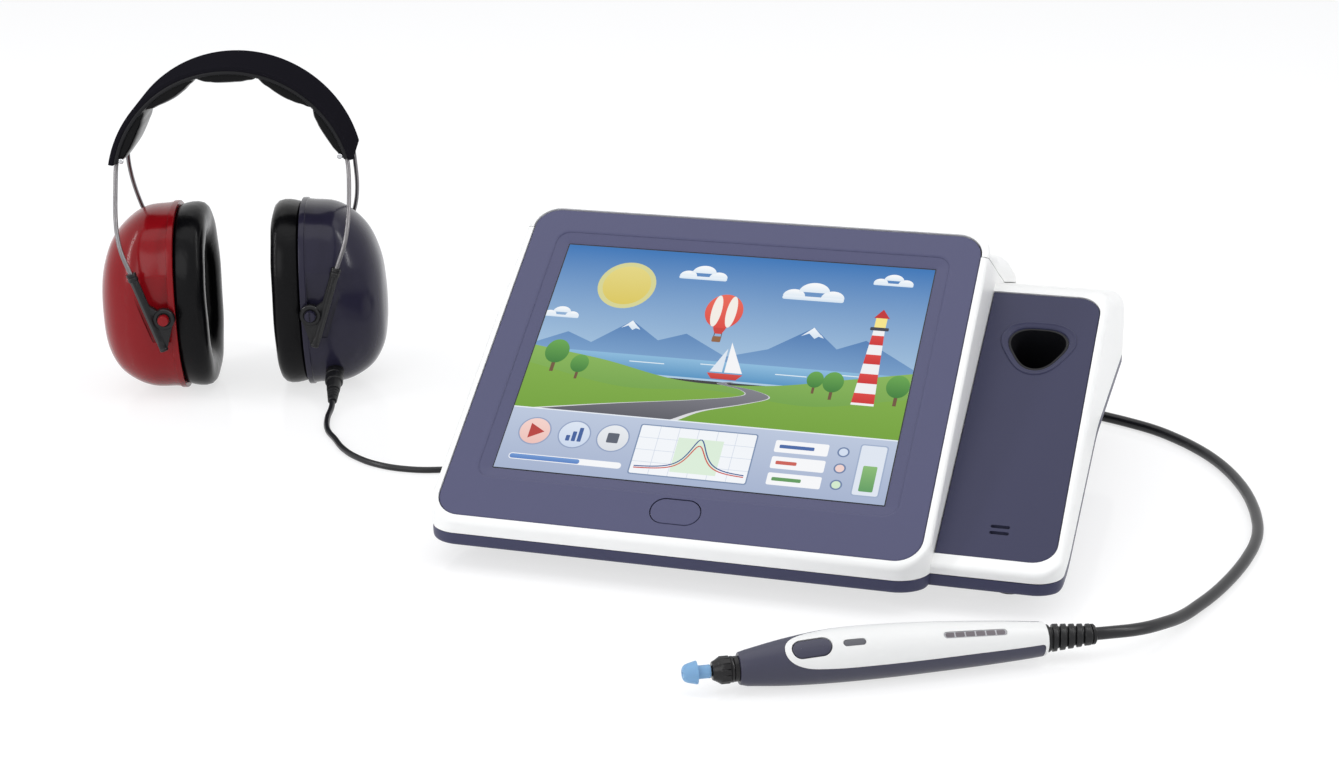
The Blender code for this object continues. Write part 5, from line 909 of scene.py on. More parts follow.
def lit_screen():
    """Light from the panel under glass: each shape's own colour over a fine grid of cells."""
    material = bpy.data.materials.new("lit_screen")
    material.use_nodes = True
    tree = material.node_tree
    shader = tree.nodes["Principled BSDF"]
    set_sockets(shader, {"Base Color": (0.01, 0.01, 0.012, 1.0), "Roughness": 0.16, "Specular IOR Level": 0.08,
                         "Emission Strength": 0.96})
    colour = add_node(tree, "ShaderNodeAttribute", -900, 200, attribute_name="paint")
    place = add_node(tree, "ShaderNodeUVMap", -1100, -100)
    cells = add_node(tree, "ShaderNodeTexWave", -900, -100, {"Scale": 260.0}, bands_direction="X")
    glow = add_node(tree, "ShaderNodeTexNoise", -900, -400, {"Scale": 3.0})
    level = add_node(tree, "ShaderNodeMapRange", -650, -100, {"To Min": 0.965, "To Max": 1.0})
    even = add_node(tree, "ShaderNodeMapRange", -650, -400, {"To Min": 0.97, "To Max": 1.03})
    share = add_node(tree, "ShaderNodeMath", -450, -200, operation="MULTIPLY")
    shown = add_node(tree, "ShaderNodeVectorMath", -250, 100, operation="SCALE")
    join(tree, (place, "UV", cells, "Vector"), (place, "UV", glow, "Vector"), (cells, "Fac", level, "Value"),
         (glow, "Fac", even, "Value"), (level, "Result", share, 0), (even, "Result", share, 1),
         (colour, "Color", shown, 0), (share, 0, shown, "Scale"), (shown, 0, shader, "Emission Color"))
    return material


picture = bmesh.new()
paint = picture.loops.layers.float_color.new("paint")
picture_map = picture.loops.layers.uv.new("UVMap")
layer_height = 0.012 * mm


def shown(points, layer, colour, top_colour=None):
    """A flat shape of the picture in mm from the screen's middle, cut at the picture's edge. Its
    colour may change from its lowest to its highest point."""
    part = bmesh.new()
    part.faces.new([part.verts.new((across * mm, along * mm, 0.0)) for across, along in points])
    for axis, limit in ((0, picture_half[0]), (1, picture_half[1])):
        for side in (-1, 1):
            normal = [0.0, 0.0, 0.0]
            normal[axis] = side
            spot = [0.0, 0.0, 0.0]
            spot[axis] = side * limit
            bmesh.ops.bisect_plane(part, geom=list(part.verts) + list(part.edges) + list(part.faces), dist=1e-7,
                                   plane_co=spot, plane_no=normal, clear_outer=True)
    bmesh.ops.triangulate(part, faces=part.faces)
    if not part.faces:
        part.free()
        return
    lows = min(vertex.co.y for vertex in part.verts)
    highs = max(vertex.co.y for vertex in part.verts)
    first = srgb(*colour)
    last = srgb(*(top_colour or colour))
    copies = {}
    for vertex in part.verts:
        copies[vertex] = picture.verts.new((vertex.co.x, vertex.co.y, layer_height * (layer + 1)))
    for face in part.faces:
        if face.calc_area() < 1e-12:
            continue
        corners = list(face.verts)
        if face.normal.z < 0:
            corners.reverse()
        shape = picture.faces.new([copies[vertex] for vertex in corners])
        for loop in shape.loops:
            t = (loop.vert.co.y - lows) / max(highs - lows, 1e-9)
            loop[paint] = [a + (b - a) * t for a, b in zip(first, last)]
            loop[picture_map].uv = (loop.vert.co.x / picture_half[0] / 2 + 0.5,
                                    loop.vert.co.y / picture_half[1] / 2 + 0.5)
    part.free()


def disc(across, along, radius, tall=1.0, count=40, start=0.0, sweep=360.0):
    """A round or oval outline, or a part of it."""
    return [(across + radius * math.cos((start + sweep * index / count) * degree),
             along + radius * tall * math.sin((start + sweep * index / count) * degree))
            for index in range(count if sweep >= 360.0 else count + 1)]


def bar(left, low, right, high, round_by=0.0):
    """An upright rectangle, with round corners if asked."""
    if round_by <= 0.0:
        return [(left, low), (right, low), (right, high), (left, high)]
    return [(across / mm, along / mm) for across, along in rounded_rectangle(
        left * mm, right * mm, low * mm, high * mm, (round_by * mm,) * 4, 4)]


def stroke(points, width):
    """A line of even width along points."""
    spots = [Vector(point) for point in points]
    left = []
    right = []
    for index, spot in enumerate(spots):
        ahead = spots[min(index + 1, len(spots) - 1)] - spots[max(index - 1, 0)]
        side = Vector((-ahead.y, ahead.x)).normalized() * (width / 2)
        left.append(spot + side)
        right.append(spot - side)
    return [tuple(spot) for spot in left + right[::-1]]


sky_line = -2.0
strip_edge = -30.5
side_edge = 85.2
top_edge = 63.9
shown(bar(-side_edge, sky_line - 6.0, side_edge, top_edge), 0, (176, 206, 230), (50, 116, 184))
shown(disc(-52.0, 42.0, 13.5), 1, (216, 214, 150))
shown(disc(-52.0, 42.0, 11.2), 2, (222, 202, 92), (230, 216, 130))
for across, along, size in ((-18.0, 50.0, 1.0), (34.0, 43.0, 1.25), (68.0, 54.0, 0.8), (-78.0, 22.0, 0.75)):
    for shift, lift, radius in ((-7.0, 0.0, 4.0), (0.0, 2.2, 5.6), (7.0, 0.0, 4.2)):
        shown(disc(across + shift * size, along + lift * size, radius * size, 0.8, 28, 0.0, 180.0), 3,
              (226, 238, 248), (255, 255, 255))
    shown(bar(across - 11.0 * size, along - 1.6 * size, across + 11.2 * size, along + 0.2 * size, 0.8 * size), 4,
          (214, 230, 244), (240, 246, 252))
far_hills = [(-side_edge, 6.0), (-72.0, 13.0), (-60.0, 8.0), (-44.0, 22.0), (-30.0, 12.0), (-18.0, 17.0), (2.0, 6.0),
             (20.0, 12.0), (38.0, 26.0), (50.0, 15.0), (62.0, 21.0), (side_edge, 7.0)]
shown([(-side_edge, sky_line - 4.0), (side_edge, sky_line - 4.0), *reversed(far_hills)], 5, (132, 172, 212),
      (66, 116, 176))
for across, along, size in ((-44.0, 22.0, 1.0), (38.0, 26.0, 1.15)):
    shown([(across - 4.4 * size, along - 4.6 * size), (across - 1.4 * size, along - 3.0 * size),
           (across + 1.0 * size, along - 5.4 * size), (across + 3.4 * size, along - 3.4 * size),
           (across + 4.6 * size, along - 4.9 * size), (across, along)], 6, (214, 230, 244), (246, 250, 254))
lake = [(-side_edge, sky_line - 5.0), (side_edge, sky_line - 5.0), (side_edge, 3.0), (-side_edge, 3.0)]
shown(lake, 7, (84, 148, 196), (140, 188, 222))
for across, along, length in ((-40.0, -1.0, 16.0), (-8.0, 0.6, 10.0), (26.0, -1.6, 14.0), (54.0, 0.8, 9.0)):
    shown(bar(across, along, across + length, along + 0.5, 0.2), 8, (226, 240, 248))


def meadow(knots, count=44):
    """A green slope with a smooth top edge, down to the strip."""
    top = [-side_edge + 2 * side_edge * index / count for index in range(count, -1, -1)]
    return [(-side_edge, strip_edge), (side_edge, strip_edge), *((place, eased(knots, place)) for place in top)]


shown(meadow(((-side_edge, 4.0), (-52.0, -1.0), (-14.0, -9.0), (24.0, -8.0), (58.0, -1.0), (side_edge, 5.0))), 9,
      (96, 152, 56), (140, 184, 88))
shown(meadow(((-side_edge, -6.0), (-40.0, -15.0), (0.0, -13.0), (44.0, -17.0), (side_edge, -9.0))), 10,
      (116, 164, 52), (128, 174, 66))
path_line = [(-44.0, strip_edge, 66.0), (-22.0, -24.5, 42.0), (4.0, -19.0, 24.0), (20.0, -14.5, 13.0),
             (16.0, -11.2, 7.6), (4.0, -9.0, 4.6), (8.0, -7.6, 2.6)]
for widen, layer, colour, top in ((1.0, 11, (226, 226, 229), (204, 206, 212)),
                                  (0.9, 12, (92, 92, 100), (134, 134, 142))):
    left = []
    right = []
    for index in range(33):
        middle, along, wide = (eased([(step, spot[part]) for step, spot in enumerate(path_line)],
                                     index / 32 * (len(path_line) - 1)) for part in range(3))
        left.append((middle - wide * widen / 2, along))
        right.append((middle + wide * widen / 2, along))
    shown(left + right[::-1], layer, colour, top)
tower = [(61.5, -14.0), (71.5, -14.0), (69.0, 27.0), (64.0, 27.0)]
shown(tower, 13, (244, 244, 246))
for index in range(4):
    low = -14.0 + index * 10.6 + 1.2
    high = low + 5.2
    half_low, half_high = (5.0 - (level + 14.0) / 41.0 * 2.5 for level in (low, high))
    shown([(66.5 - half_low, low), (66.5 + half_low, low), (66.5 + half_high, high), (66.5 - half_high, high)], 14,
          (206, 46, 44), (222, 66, 60))
shown(bar(62.4, 27.0, 70.6, 28.8, 0.5), 15, (60, 62, 74))
shown(bar(64.0, 28.8, 69.0, 34.0), 15, (250, 232, 140))
shown([(63.0, 34.0), (70.0, 34.0), (66.5, 39.0)], 15, (196, 44, 44))
for across, along, size in ((-74.0, -10.0, 1.2), (-62.0, -13.0, 0.9), (44.0, -10.0, 0.8), (52.0, -12.5, 1.0),
                            (80.0, -13.0, 1.1)):
    shown(bar(across - 0.7 * size, along, across + 0.7 * size, along + 6.0 * size), 16, (112, 82, 58))
    shown(disc(across, along + 9.5 * size, 4.6 * size, 1.2, 30), 17, (58, 126, 52), (104, 168, 76))
shown([(-4.0, -3.5), (12.0, -3.5), (9.5, -6.6), (-1.6, -6.6)], 18, (200, 54, 48), (214, 74, 62))
shown([(3.6, -2.8), (3.6, 14.0), (11.6, -2.8)], 18, (248, 248, 250))
shown([(2.6, -2.8), (2.6, 10.5), (-3.0, -2.8)], 18, (226, 234, 244))
shown(disc(-4.0, 31.0, 8.6, 1.14, 44), 18, (222, 70, 60), (236, 104, 84))
for across, wide in ((-7.4, 2.3), (-0.6, 2.3)):
    shown(disc(across, 31.0, wide, 3.9, 30), 19, (246, 240, 232))
shown([(-7.0, 21.6), (-1.0, 21.6), (-2.4, 18.2), (-5.6, 18.2)], 19, (206, 62, 54))
shown(bar(-6.0, 13.6, -2.0, 16.8, 0.5), 19, (146, 98, 60))
for across in (-5.7, -2.4):
    shown(bar(across, 16.6, across + 0.35, 18.6), 20, (96, 72, 52))

shown(bar(-side_edge, -top_edge, side_edge, strip_edge), 21, (168, 182, 210), (190, 202, 224))
shown(bar(-side_edge, strip_edge - 0.6, side_edge, strip_edge), 22, (236, 242, 250))
shown(bar(-26.0, -60.5, 26.0, -34.0, 1.2), 22, (126, 146, 178))
shown(bar(-25.4, -59.9, 25.4, -34.6, 0.8), 23, (246, 249, 253))
for index in range(1, 6):
    shown(bar(-25.4 + 8.47 * index - 0.12, -59.9, -25.4 + 8.47 * index + 0.12, -34.6), 24, (208, 217, 232))
for index in range(1, 4):
    shown(bar(-25.4, -59.9 + 6.3 * index - 0.12, 25.4, -59.9 + 6.3 * index + 0.12), 24, (208, 217, 232))
shown(bar(-8.0, -57.5, 12.0, -39.5), 25, (222, 240, 220))
for lift, colour in ((0.0, (52, 84, 146)), (-2.6, (206, 82, 74))):
    curve = []
    for index in range(61):
        across = -24.0 + 48.0 * index / 60
        curve.append((across, -56.6 + lift * 0.3 + (17.0 + lift) / (1.0 + ((across - 2.0) / 4.6) ** 2)))
    shown(stroke(curve, 0.55), 26 + (lift < 0), colour)
for row in range(3):
    low = -42.2 - row * 8.4
    shown(bar(34.0, low, 57.0, low + 6.2, 0.8), 22, (250, 251, 253))
    shown(bar(36.0, low + 2.2, 36.0 + (15.0, 9.0, 12.5)[row], low + 4.0, 0.5), 23,
          ((70, 104, 168), (206, 96, 84), (98, 156, 92))[row])
    shown(disc(63.4, low + 3.1, 2.6, 1.0, 28), 22, (112, 132, 170))
    shown(disc(63.4, low + 3.1, 1.9, 1.0, 28), 23, ((214, 226, 244), (244, 214, 208), (214, 238, 208))[row])
shown(bar(70.0, -60.5, 82.0, -34.0, 1.4), 22, (160, 176, 204))
shown(bar(70.6, -59.9, 81.4, -34.6, 1.0), 23, (226, 233, 244))
shown(bar(73.0, -58.0, 79.0, -45.0, 0.6), 24, (96, 158, 96), (140, 190, 118))
for across, colour, top in ((-72.0, (240, 196, 188), (248, 214, 206)), (-54.0, (206, 219, 240), (224, 233, 246)),
                            (-36.6, (222, 226, 232), (236, 239, 243))):
    shown(disc(across, -43.0, 7.4, 1.0, 40), 22, (148, 164, 196))
    shown(disc(across, -43.0, 6.8, 1.0, 40), 23, colour, top)
shown([(-74.4, -47.0), (-74.4, -39.0), (-67.6, -43.0)], 24, (186, 62, 56))
for index in range(3):
    shown(bar(-57.4 + index * 2.6, -46.6, -55.6 + index * 2.6, -43.6 + index * 2.2, 0.3), 24, (64, 96, 158))
shown(bar(-39.2, -45.6, -34.0, -40.4, 0.6), 24, (92, 98, 112))
shown(bar(-80.0, -58.6, -29.4, -55.4, 1.5), 22, (250, 251, 253))
shown(bar(-79.6, -58.2, -48.0, -55.8, 1.1), 23, (84, 128, 196), (116, 156, 214))
made("screen_picture", picture, lit_screen(), "base", (), screen_frame, even=False)


# Probe panel and well. A slate panel is let into the white section. A low ring with a fine raised lip
# leads down into a black moulded well that holds the probe, and two slots let the speaker sound out.
panel_slate = moulded("panel_slate", srgb(53, 54, 80), (0.36, 0.44), 0.05, 2400.0, 0.010)
panel_plate = plate(rounded_rectangle(107.8 * mm, 155.9 * mm, -69.8 * mm, 87.0 * mm,
                                      (0.0, 10.0 * mm, 10.0 * mm, 0.0), 12), -2.0 * mm, 0.0)
softened(panel_plate, edges_above(panel_plate, -0.1 * mm), 0.5 * mm)


def well_ring(grow):
    return holder_outline(grow * mm, 72)


ring_form = stacked(well_ring, (
    (4.5, -1.9), (4.5, -0.2), (4.48, 0.0), (4.4, 0.22), (4.22, 0.38), (3.98, 0.44), (3.72, 0.38), (3.5, 0.22),
    (3.25, 0.08), (2.8, -0.04), (2.1, -0.2), (1.6, -0.42), (1.35, -0.66), (1.3, -1.0)))
ring_seat, well_mouth, *slots = [plate(outline, *through) for outline in (
    well_ring(3.6), well_ring(1.1),
    *(racetrack(well_middle[0], -54.2 * mm + step * 3.4 * mm, 8.0 * mm, 1.7 * mm, 8) for step in (-0.5, 0.5)))]
panel_plate = carved(panel_plate, *cuts(ring_seat), ("UNION", ring_form), *cuts(well_mouth, *slots))
made("probe_well_panel", panel_plate, panel_slate, "base", ("probe_panel",), section_frame)
well_black = moulded("well_black", srgb(24, 24, 28), (0.42, 0.52), 0.08, 1800.0, 0.014)
well = carved(stacked(well_ring, ((1.0, -46.0), (1.0, -0.95))),
              *cuts(stacked(well_ring, ((-3.0, -44.6), (-1.2, -43.9), (-0.4, -42.0), (0.1, 2.0)))))
made("probe_well", well, well_black, "base", ("probe_holder",), section_frame)


# Hand probe body. Two smooth moulded shells meet along a curved line: the slate lower one reaches
# round to the front, the white upper one ends in a round tongue and a thin collar at the cord.
probe_seat = device_frame @ probe_body_frame
probe_slim = 0.97
probe_tall = 1.03
probe_rows = [(0.025, 0.67, -0.085), (0.15, 0.87, 0.0), (0.30, 1.0, 0.077), (0.46, 1.0, 0.08),
              (0.62, 0.94, 0.06), (0.78, 0.84, 0.02), (0.90, 0.745, -0.01), (0.985, 0.66, -0.03)]


def glide(rows, steps=5):
    """Rows of numbers with even in-between rows on a smooth curve through all of them."""
    padded_rows = [rows[0], *rows, rows[-1]]
    result = []
    for a, b, c, d in zip(padded_rows, padded_rows[1:], padded_rows[2:], padded_rows[3:]):
        for step in range(steps):
            t = step / steps
            result.append(tuple(0.5 * (2 * q + (r - p) * t + (2 * p - 5 * q + 4 * r - s) * t * t
                                       + (3 * q - p - 3 * r + s) * t ** 3) for p, q, r, s in zip(a, b, c, d)))
    return [*result, rows[-1]]


def probe_section(share, radius, drop, inset=0.0, count=64):
    """Points of the probe's oval section at a share of its length."""
    middle = (drop * probe_radius * math.sin(probe_roll), drop * probe_radius * math.cos(probe_roll))
    points = []
    for index in range(count):
        angle = 2 * math.pi * index / count
        points.append((probe_body_start + share * probe_body_length,
                       middle[0] + (radius * probe_radius * probe_slim - inset) * math.cos(angle),
                       middle[1] + (radius * probe_radius * probe_tall - inset) * math.sin(angle)))
    return points


def probe_form(inset=0.0):
    """The probe's whole body. An inset makes its inner form."""
    rows = glide(probe_rows)
    if not inset:
        front = [(0.0, 0.56, -0.085), (0.0006, 0.585, -0.085), (0.003, 0.604, -0.085)]
        back = [(0.9955, 0.646, -0.03), (0.999, 0.63, -0.03), (1.0, 0.61, -0.03)]
        rows = [*front, *rows, *back]
    return bridged([probe_section(*row, inset) for row in rows])


def probe_skin(place, across):
    """Height of the probe's surface at a place along it and across it."""
    share = (place - probe_body_start) / probe_body_length
    radius, drop = (probe_radius * eased([(row[0], row[part]) for row in probe_rows], share) for part in (1, 2))
    wide = (across - drop * math.sin(probe_roll)) / (radius * probe_slim)
    return drop * math.cos(probe_roll) + radius * probe_tall * math.sqrt(max(0.0, 1.0 - wide * wide))


def on_probe(bm):
    """Lifts a form drawn round height zero to the probe's surface."""
    for vertex in bm.verts:
        vertex.co.z += probe_skin(vertex.co.x, vertex.co.y)
    return bm


def top_space(gap):
    """Space of the upper shell in the side view."""
    levels = [(0.24, 0.62), (0.5, 0.60), (0.75, 0.54), (1.0, 0.42)]
    level = probe_radius * levels[0][1] + gap
    start = probe_body_start + 0.112 * probe_body_length + gap
    flat = probe_body_start + levels[0][0] * probe_body_length
    end = probe_body_start + probe_body_length - 1.5 * mm + gap
    high = probe_radius * 1.25
    points = [(start, high * 2)]
    for index in range(19):
        angle = index * 5.0 * degree
        points.append((flat - (flat - start) * math.cos(angle), high - (high - level) * math.sin(angle)))
    for index in range(1, 15):
        place = flat + (end - 1.6 * mm - flat) * index / 14
        points.append((place, probe_radius * eased(levels, (place - probe_body_start) / probe_body_length) + gap))
    drop = points[-1][1]
    points += [*bend((end - 1.6 * mm, drop), (end, drop), (end, drop - 1.6 * mm))[1:],
               (end, -high * 2), (end + 12.0 * mm, -high * 2), (end + 12.0 * mm, high * 2)]
    return plate(points, -probe_radius * 2, probe_radius * 2, front_view)


def pill(place, length, width, rings):
    """A pill-shaped form on the probe: rings of (inset, height) from its foot to its crown."""
    return on_probe(stacked(lambda inset: racetrack(
        place, 0.0, length - 2 * inset * mm, width - 2 * inset * mm, 12), rings))


key_place, status_place, level_place = (probe_body_start + share * probe_body_length
                                        for share in (0.224, 0.359, 0.755))
key_room = pill(key_place, 15.2 * mm, 7.6 * mm, ((-0.35, 4.0), (-0.3, 0.25), (-0.05, -0.1), (0.0, -0.35),
                                                 (0.0, -4.2)))
window_rooms = [pill(place, length * mm, 2.7 * mm, ((-0.2, 2.0), (-0.18, 0.2), (0.0, -0.12), (0.0, -1.6)))
                for place, length in ((status_place, 8.8), (level_place, 25.4))]
probe_white = moulded("probe_white", srgb(236, 236, 234), (0.30, 0.38), 0.02, 2400.0, 0.006, specular=0.35)
probe_slate = moulded("probe_slate", srgb(62, 62, 79), (0.30, 0.38), 0.05, 2600.0, 0.010, specular=0.35)
probe_wall = 1.8 * mm
lower = carved(probe_form(), *cuts(top_space(0.0), probe_form(probe_wall), key_room.copy()))
made("probe_lower", lower, probe_slate, "base", ("probe_lower_shell",), probe_seat, 30.0)
upper = carved(probe_form(), ("INTERSECT", top_space(0.14 * mm)),
               *cuts(probe_form(probe_wall), key_room, *window_rooms))
made("probe_upper", upper, probe_white, "base", ("probe_upper_shell",), probe_seat, 30.0)


# Probe button and lights. A soft-edged slate key sits in its own hole behind the tongue. A small status
# lamp and a row of six level lamps show through smoked windows set into the white shell.
key = pill(key_place, 14.6 * mm, 7.0 * mm, ((0.0, -2.9), (0.0, -0.75), (0.05, -0.42), (0.22, -0.2), (0.5, -0.08),
                                            (1.0, -0.03), (1.9, -0.05), (2.6, -0.07), (3.3, -0.08)))
made("probe_key", key, probe_slate, "probe_button_group", ("probe_button",), probe_seat)
window_grey = moulded("window_grey", srgb(98, 98, 104), (0.16, 0.24), 0.05, 900.0, 0.0, coat=0.2)
lamp_grey = moulded("lamp_grey", srgb(112, 106, 110), (0.2, 0.3), 0.16, 260.0, 0.0)
strip_grey = moulded("strip_grey", srgb(186, 186, 189), (0.16, 0.24), 0.03, 900.0, 0.0, coat=0.2)
made("probe_status_window", pill(status_place, 8.5 * mm, 2.4 * mm, ((0.0, -1.5), (0.0, -0.32), (0.12, -0.22),
                                                                    (0.5, -0.2), (1.1, -0.2))),
     window_grey, "base", ("status_window",), probe_seat)
made("probe_level_window", pill(level_place, 25.1 * mm, 2.4 * mm, ((0.0, -1.5), (0.0, -0.36), (0.12, -0.28),
                                                                   (0.5, -0.26), (1.1, -0.26))),
     strip_grey, "base", ("level_window",), probe_seat)
lamps = bmesh.new()
for index in range(6):
    middle = level_place + (index - 2.5) * 4.1 * mm
    first = 0.9 * mm if index == 0 else 0.3 * mm
    second = 0.9 * mm if index == 5 else 0.3 * mm
    taken_in(lamps, on_probe(stacked(lambda inset: rounded_rectangle(
        middle - (1.75 - inset) * mm, middle + (1.75 - inset) * mm, -(0.95 - inset) * mm, (0.95 - inset) * mm,
        (first, second, second, first), 4), ((0.0, -0.3), (0.0, -0.2), (0.08, -0.17)))))
made("probe_level_lamps", lamps, lamp_grey, "base", (), probe_seat)


# Probe nose. The tip is a black moulded tube with a collar, held by a black union nut with a knurled
# grip. A pale blue soft ear tip, hollow under its umbrella, is pushed on the tube.
tip_place = device_frame @ probe_frame @ Matrix.Translation((0.0, 0.0, -0.085 * probe_radius))
nose_black = moulded("nose_black", srgb(22, 21, 23), (0.22, 0.30), 0.1, 1600.0, 0.012, specular=0.3)
core = turned(in_metres((
    (0.0, 21.5), (4.6, 21.5), (4.85, 21.3), (4.85, 19.7), (3.7, 19.7), (3.7, 13.8), (1.8, 13.8), (1.8, 4.0),
    (1.3, 3.6), (0.6, 3.6), (0.6, 6.0), (0.0, 6.0))), 40, along_x)
made("probe_tip_tube", core, nose_black, "base", ("probe_tip",), tip_place)
nut_steps = 112
nut = turned(in_metres((
    (4.0, 19.4), (4.85, 19.4), (5.0, 19.25), (5.0, 18.4), (4.75, 18.25), (4.75, 18.0), (5.3, 17.8), (5.3, 14.6),
    (5.0, 14.35), (4.95, 14.1), (4.6, 13.6), (4.15, 12.85), (3.75, 12.1), (3.5, 11.55), (3.3, 11.4), (2.1, 11.4),
    (2.1, 13.5), (4.0, 13.5))), nut_steps, along_x)
for vertex in nut.verts:
    if math.hypot(vertex.co.y, vertex.co.z) > 5.1 * mm:
        in_flat = round(math.atan2(vertex.co.z, vertex.co.y) / (2 * math.pi) * nut_steps) % 8
        shrink = 0.94 if in_flat == 0 else 0.985 if in_flat in (3, 4, 5) else 1.0
        vertex.co.y *= shrink
        vertex.co.z *= shrink
made("nose_nut", nut, nose_black, "nose_cap_group", ("nose_cap",), tip_place, 50.0, False)
soft_blue = moulded("soft_blue_silicone", srgb(128, 170, 208), (0.34, 0.44), 0.06, 1500.0, 0.008)
set_sockets(soft_blue.node_tree.nodes["Principled BSDF"],
            {"Subsurface Weight": 0.25, "Subsurface Radius": (0.001, 0.0016, 0.0024)})
tip = turned(in_metres((
    (1.2, 0.35), (1.5, 0.1), (2.1, 0.2), (2.8, 0.65), (3.35, 1.4), (3.7, 2.4), (3.95, 3.5), (4.2, 4.5), (4.42, 5.35),
    (4.4, 5.7), (4.2, 5.75), (3.9, 5.2), (3.5, 4.6), (3.05, 4.3), (2.75, 4.35), (2.58, 4.8), (2.55, 9.6),
    (2.6, 10.5), (2.45, 10.8), (2.15, 10.8), (2.1, 3.5), (1.2, 3.4))), 56, along_x)
made("soft_ear_tip", tip, soft_blue, "ear_tip_group", ("ear_tip",), tip_place, 60.0)


# Cord relief of the probe. Soft black rubber moulded on the cord, with slanted ribs that thin out to
# the back so that the cord bends in an even curve.
rubber_black = moulded("rubber_black", srgb(20, 20, 22), (0.30, 0.40), 0.1, 1800.0, 0.016, specular=0.3)
relief_profile = [(0.0, relief_length), (3.6 * mm, relief_length), (4.0 * mm, relief_length - 0.4 * mm),
                  (4.0 * mm, relief_length - 1.4 * mm)]
for index in range(5, 0, -1):
    share = index / 5
    outer = (5.55 - 1.35 * share) * mm
    inner = outer * 0.8
    middle = relief_length * (0.035 + 0.165 * index)
    relief_profile += [(inner, middle + 1.5 * mm), (inner, middle + 1.2 * mm), (outer - 0.2 * mm, middle + 1.05 * mm),
                       (outer, middle + 0.75 * mm), (outer * 1.01, middle - 0.9 * mm),
                       (outer - 0.1 * mm, middle - 1.15 * mm), (inner, middle - 1.3 * mm)]
relief_profile += in_metres(((4.1, 1.6), (5.1, 1.45), (5.35, 1.2), (5.4, 0.2), (5.2, 0.0), (0.0, 0.0)))
relief = turned(relief_profile, 48, along_x)
for vertex in relief.verts:
    inner_part = min(vertex.co.x - 1.6 * mm, relief_length - 1.4 * mm - vertex.co.x)
    if inner_part > 0.0:
        vertex.co.x += 0.28 * vertex.co.y * min(1.0, inner_part / (2.0 * mm))
made("cord_relief", relief, rubber_black, "base", ("probe_strain_relief",),
     device_frame @ probe_frame @ Matrix.Translation((relief_start, 0.0, tail_drop)))


# Headset cups. Deep glossy moulded shells, dark red for the right ear and blue-black for the left. Each
# has a rim band, a flat recess for the clips and a pin through it that the two clips snap on.
oval_points = 84
cup_half_height = 48.6 * mm
cup_half_width = 37.5 * mm
rim_inner = 31.5 * mm
rim_depth = 5.7 * mm
cup_depth = 35.5 * mm
cup_wall = 2.4 * mm
pivot_side = rim_inner + rim_depth * 0.9
pivot_rise = 47.5 * mm
clip_lean = 18.2 * degree
clip_length = 43.0 * mm
pivot_along = 15.5 * mm
clip_offset = 6.17 * mm
clip_foot_side = pivot_side + clip_offset * math.cos(clip_lean) - pivot_along * math.sin(clip_lean)
clip_foot_rise = pivot_rise - clip_offset * math.sin(clip_lean) - pivot_along * math.cos(clip_lean)
clip_near = cup_half_width + 0.6 * mm
clip_middle = clip_near + 2.6 * mm
headset_seat = device_frame @ headset_frame


def filled(value, power):
    """A sine or cosine drawn towards its ends, which makes an oval fuller at its corners."""
    return math.copysign(abs(value) ** power, value)


def cup_ring(side, depth, shrink, drop, inset=0.0):
    """A rounded oval ring of a cup at a distance from the middle of the head."""
    half_width = cup_half_width * shrink - inset
    half_height = cup_half_height * shrink - inset
    return [(side * depth, half_width * filled(math.cos(angle), 0.84),
             cup_half_height * (1.0 + drop) + half_height * filled(math.sin(angle), 0.84))
            for angle in (2 * math.pi * index / oval_points for index in range(oval_points))]


dome_rows = glide([(0.0, 1.0, 0.0), (0.30, 0.985, -0.01), (0.55, 0.90, -0.03), (0.78, 0.74, -0.06),
                   (0.93, 0.50, -0.10), (0.985, 0.24, -0.125), (1.0, 0.02, -0.13)])
dome_start = rim_inner + rim_depth + 0.3 * mm


def cup_form(side, inset=0.0):
    """A cup from its rim to the crown of its dome. An inset makes its inner form."""
    start = rim_inner - 2 * inset
    band = [(start, 1.0), (rim_inner + 2.9 * mm, 1.0)] if inset else [
        (rim_inner, 0.992), (rim_inner + 0.15 * mm, 0.997), (rim_inner + 0.5 * mm, 1.0),
        (rim_inner + 2.5 * mm, 1.0), (rim_inner + 2.8 * mm, 0.998), (rim_inner + 2.95 * mm, 0.99),
        (rim_inner + 3.1 * mm, 0.986)]
    rings = [cup_ring(side, depth, shrink, 0.0, inset) for depth, shrink in band]
    for depth, size, drop in dome_rows:
        if inset and size < 0.15:
            break
        rings.append(cup_ring(side, dome_start + depth * (cup_depth - inset), 0.979 * size, drop,
                              inset * min(1.0, size)))
    return bridged(rings)


def facing(points, low, high, face):
    """Extrudes an outline of the front view between two depths, on the front or the rear side."""
    near, far = sorted((face * low, face * high))
    return plate(points, -far, -near, front_view)


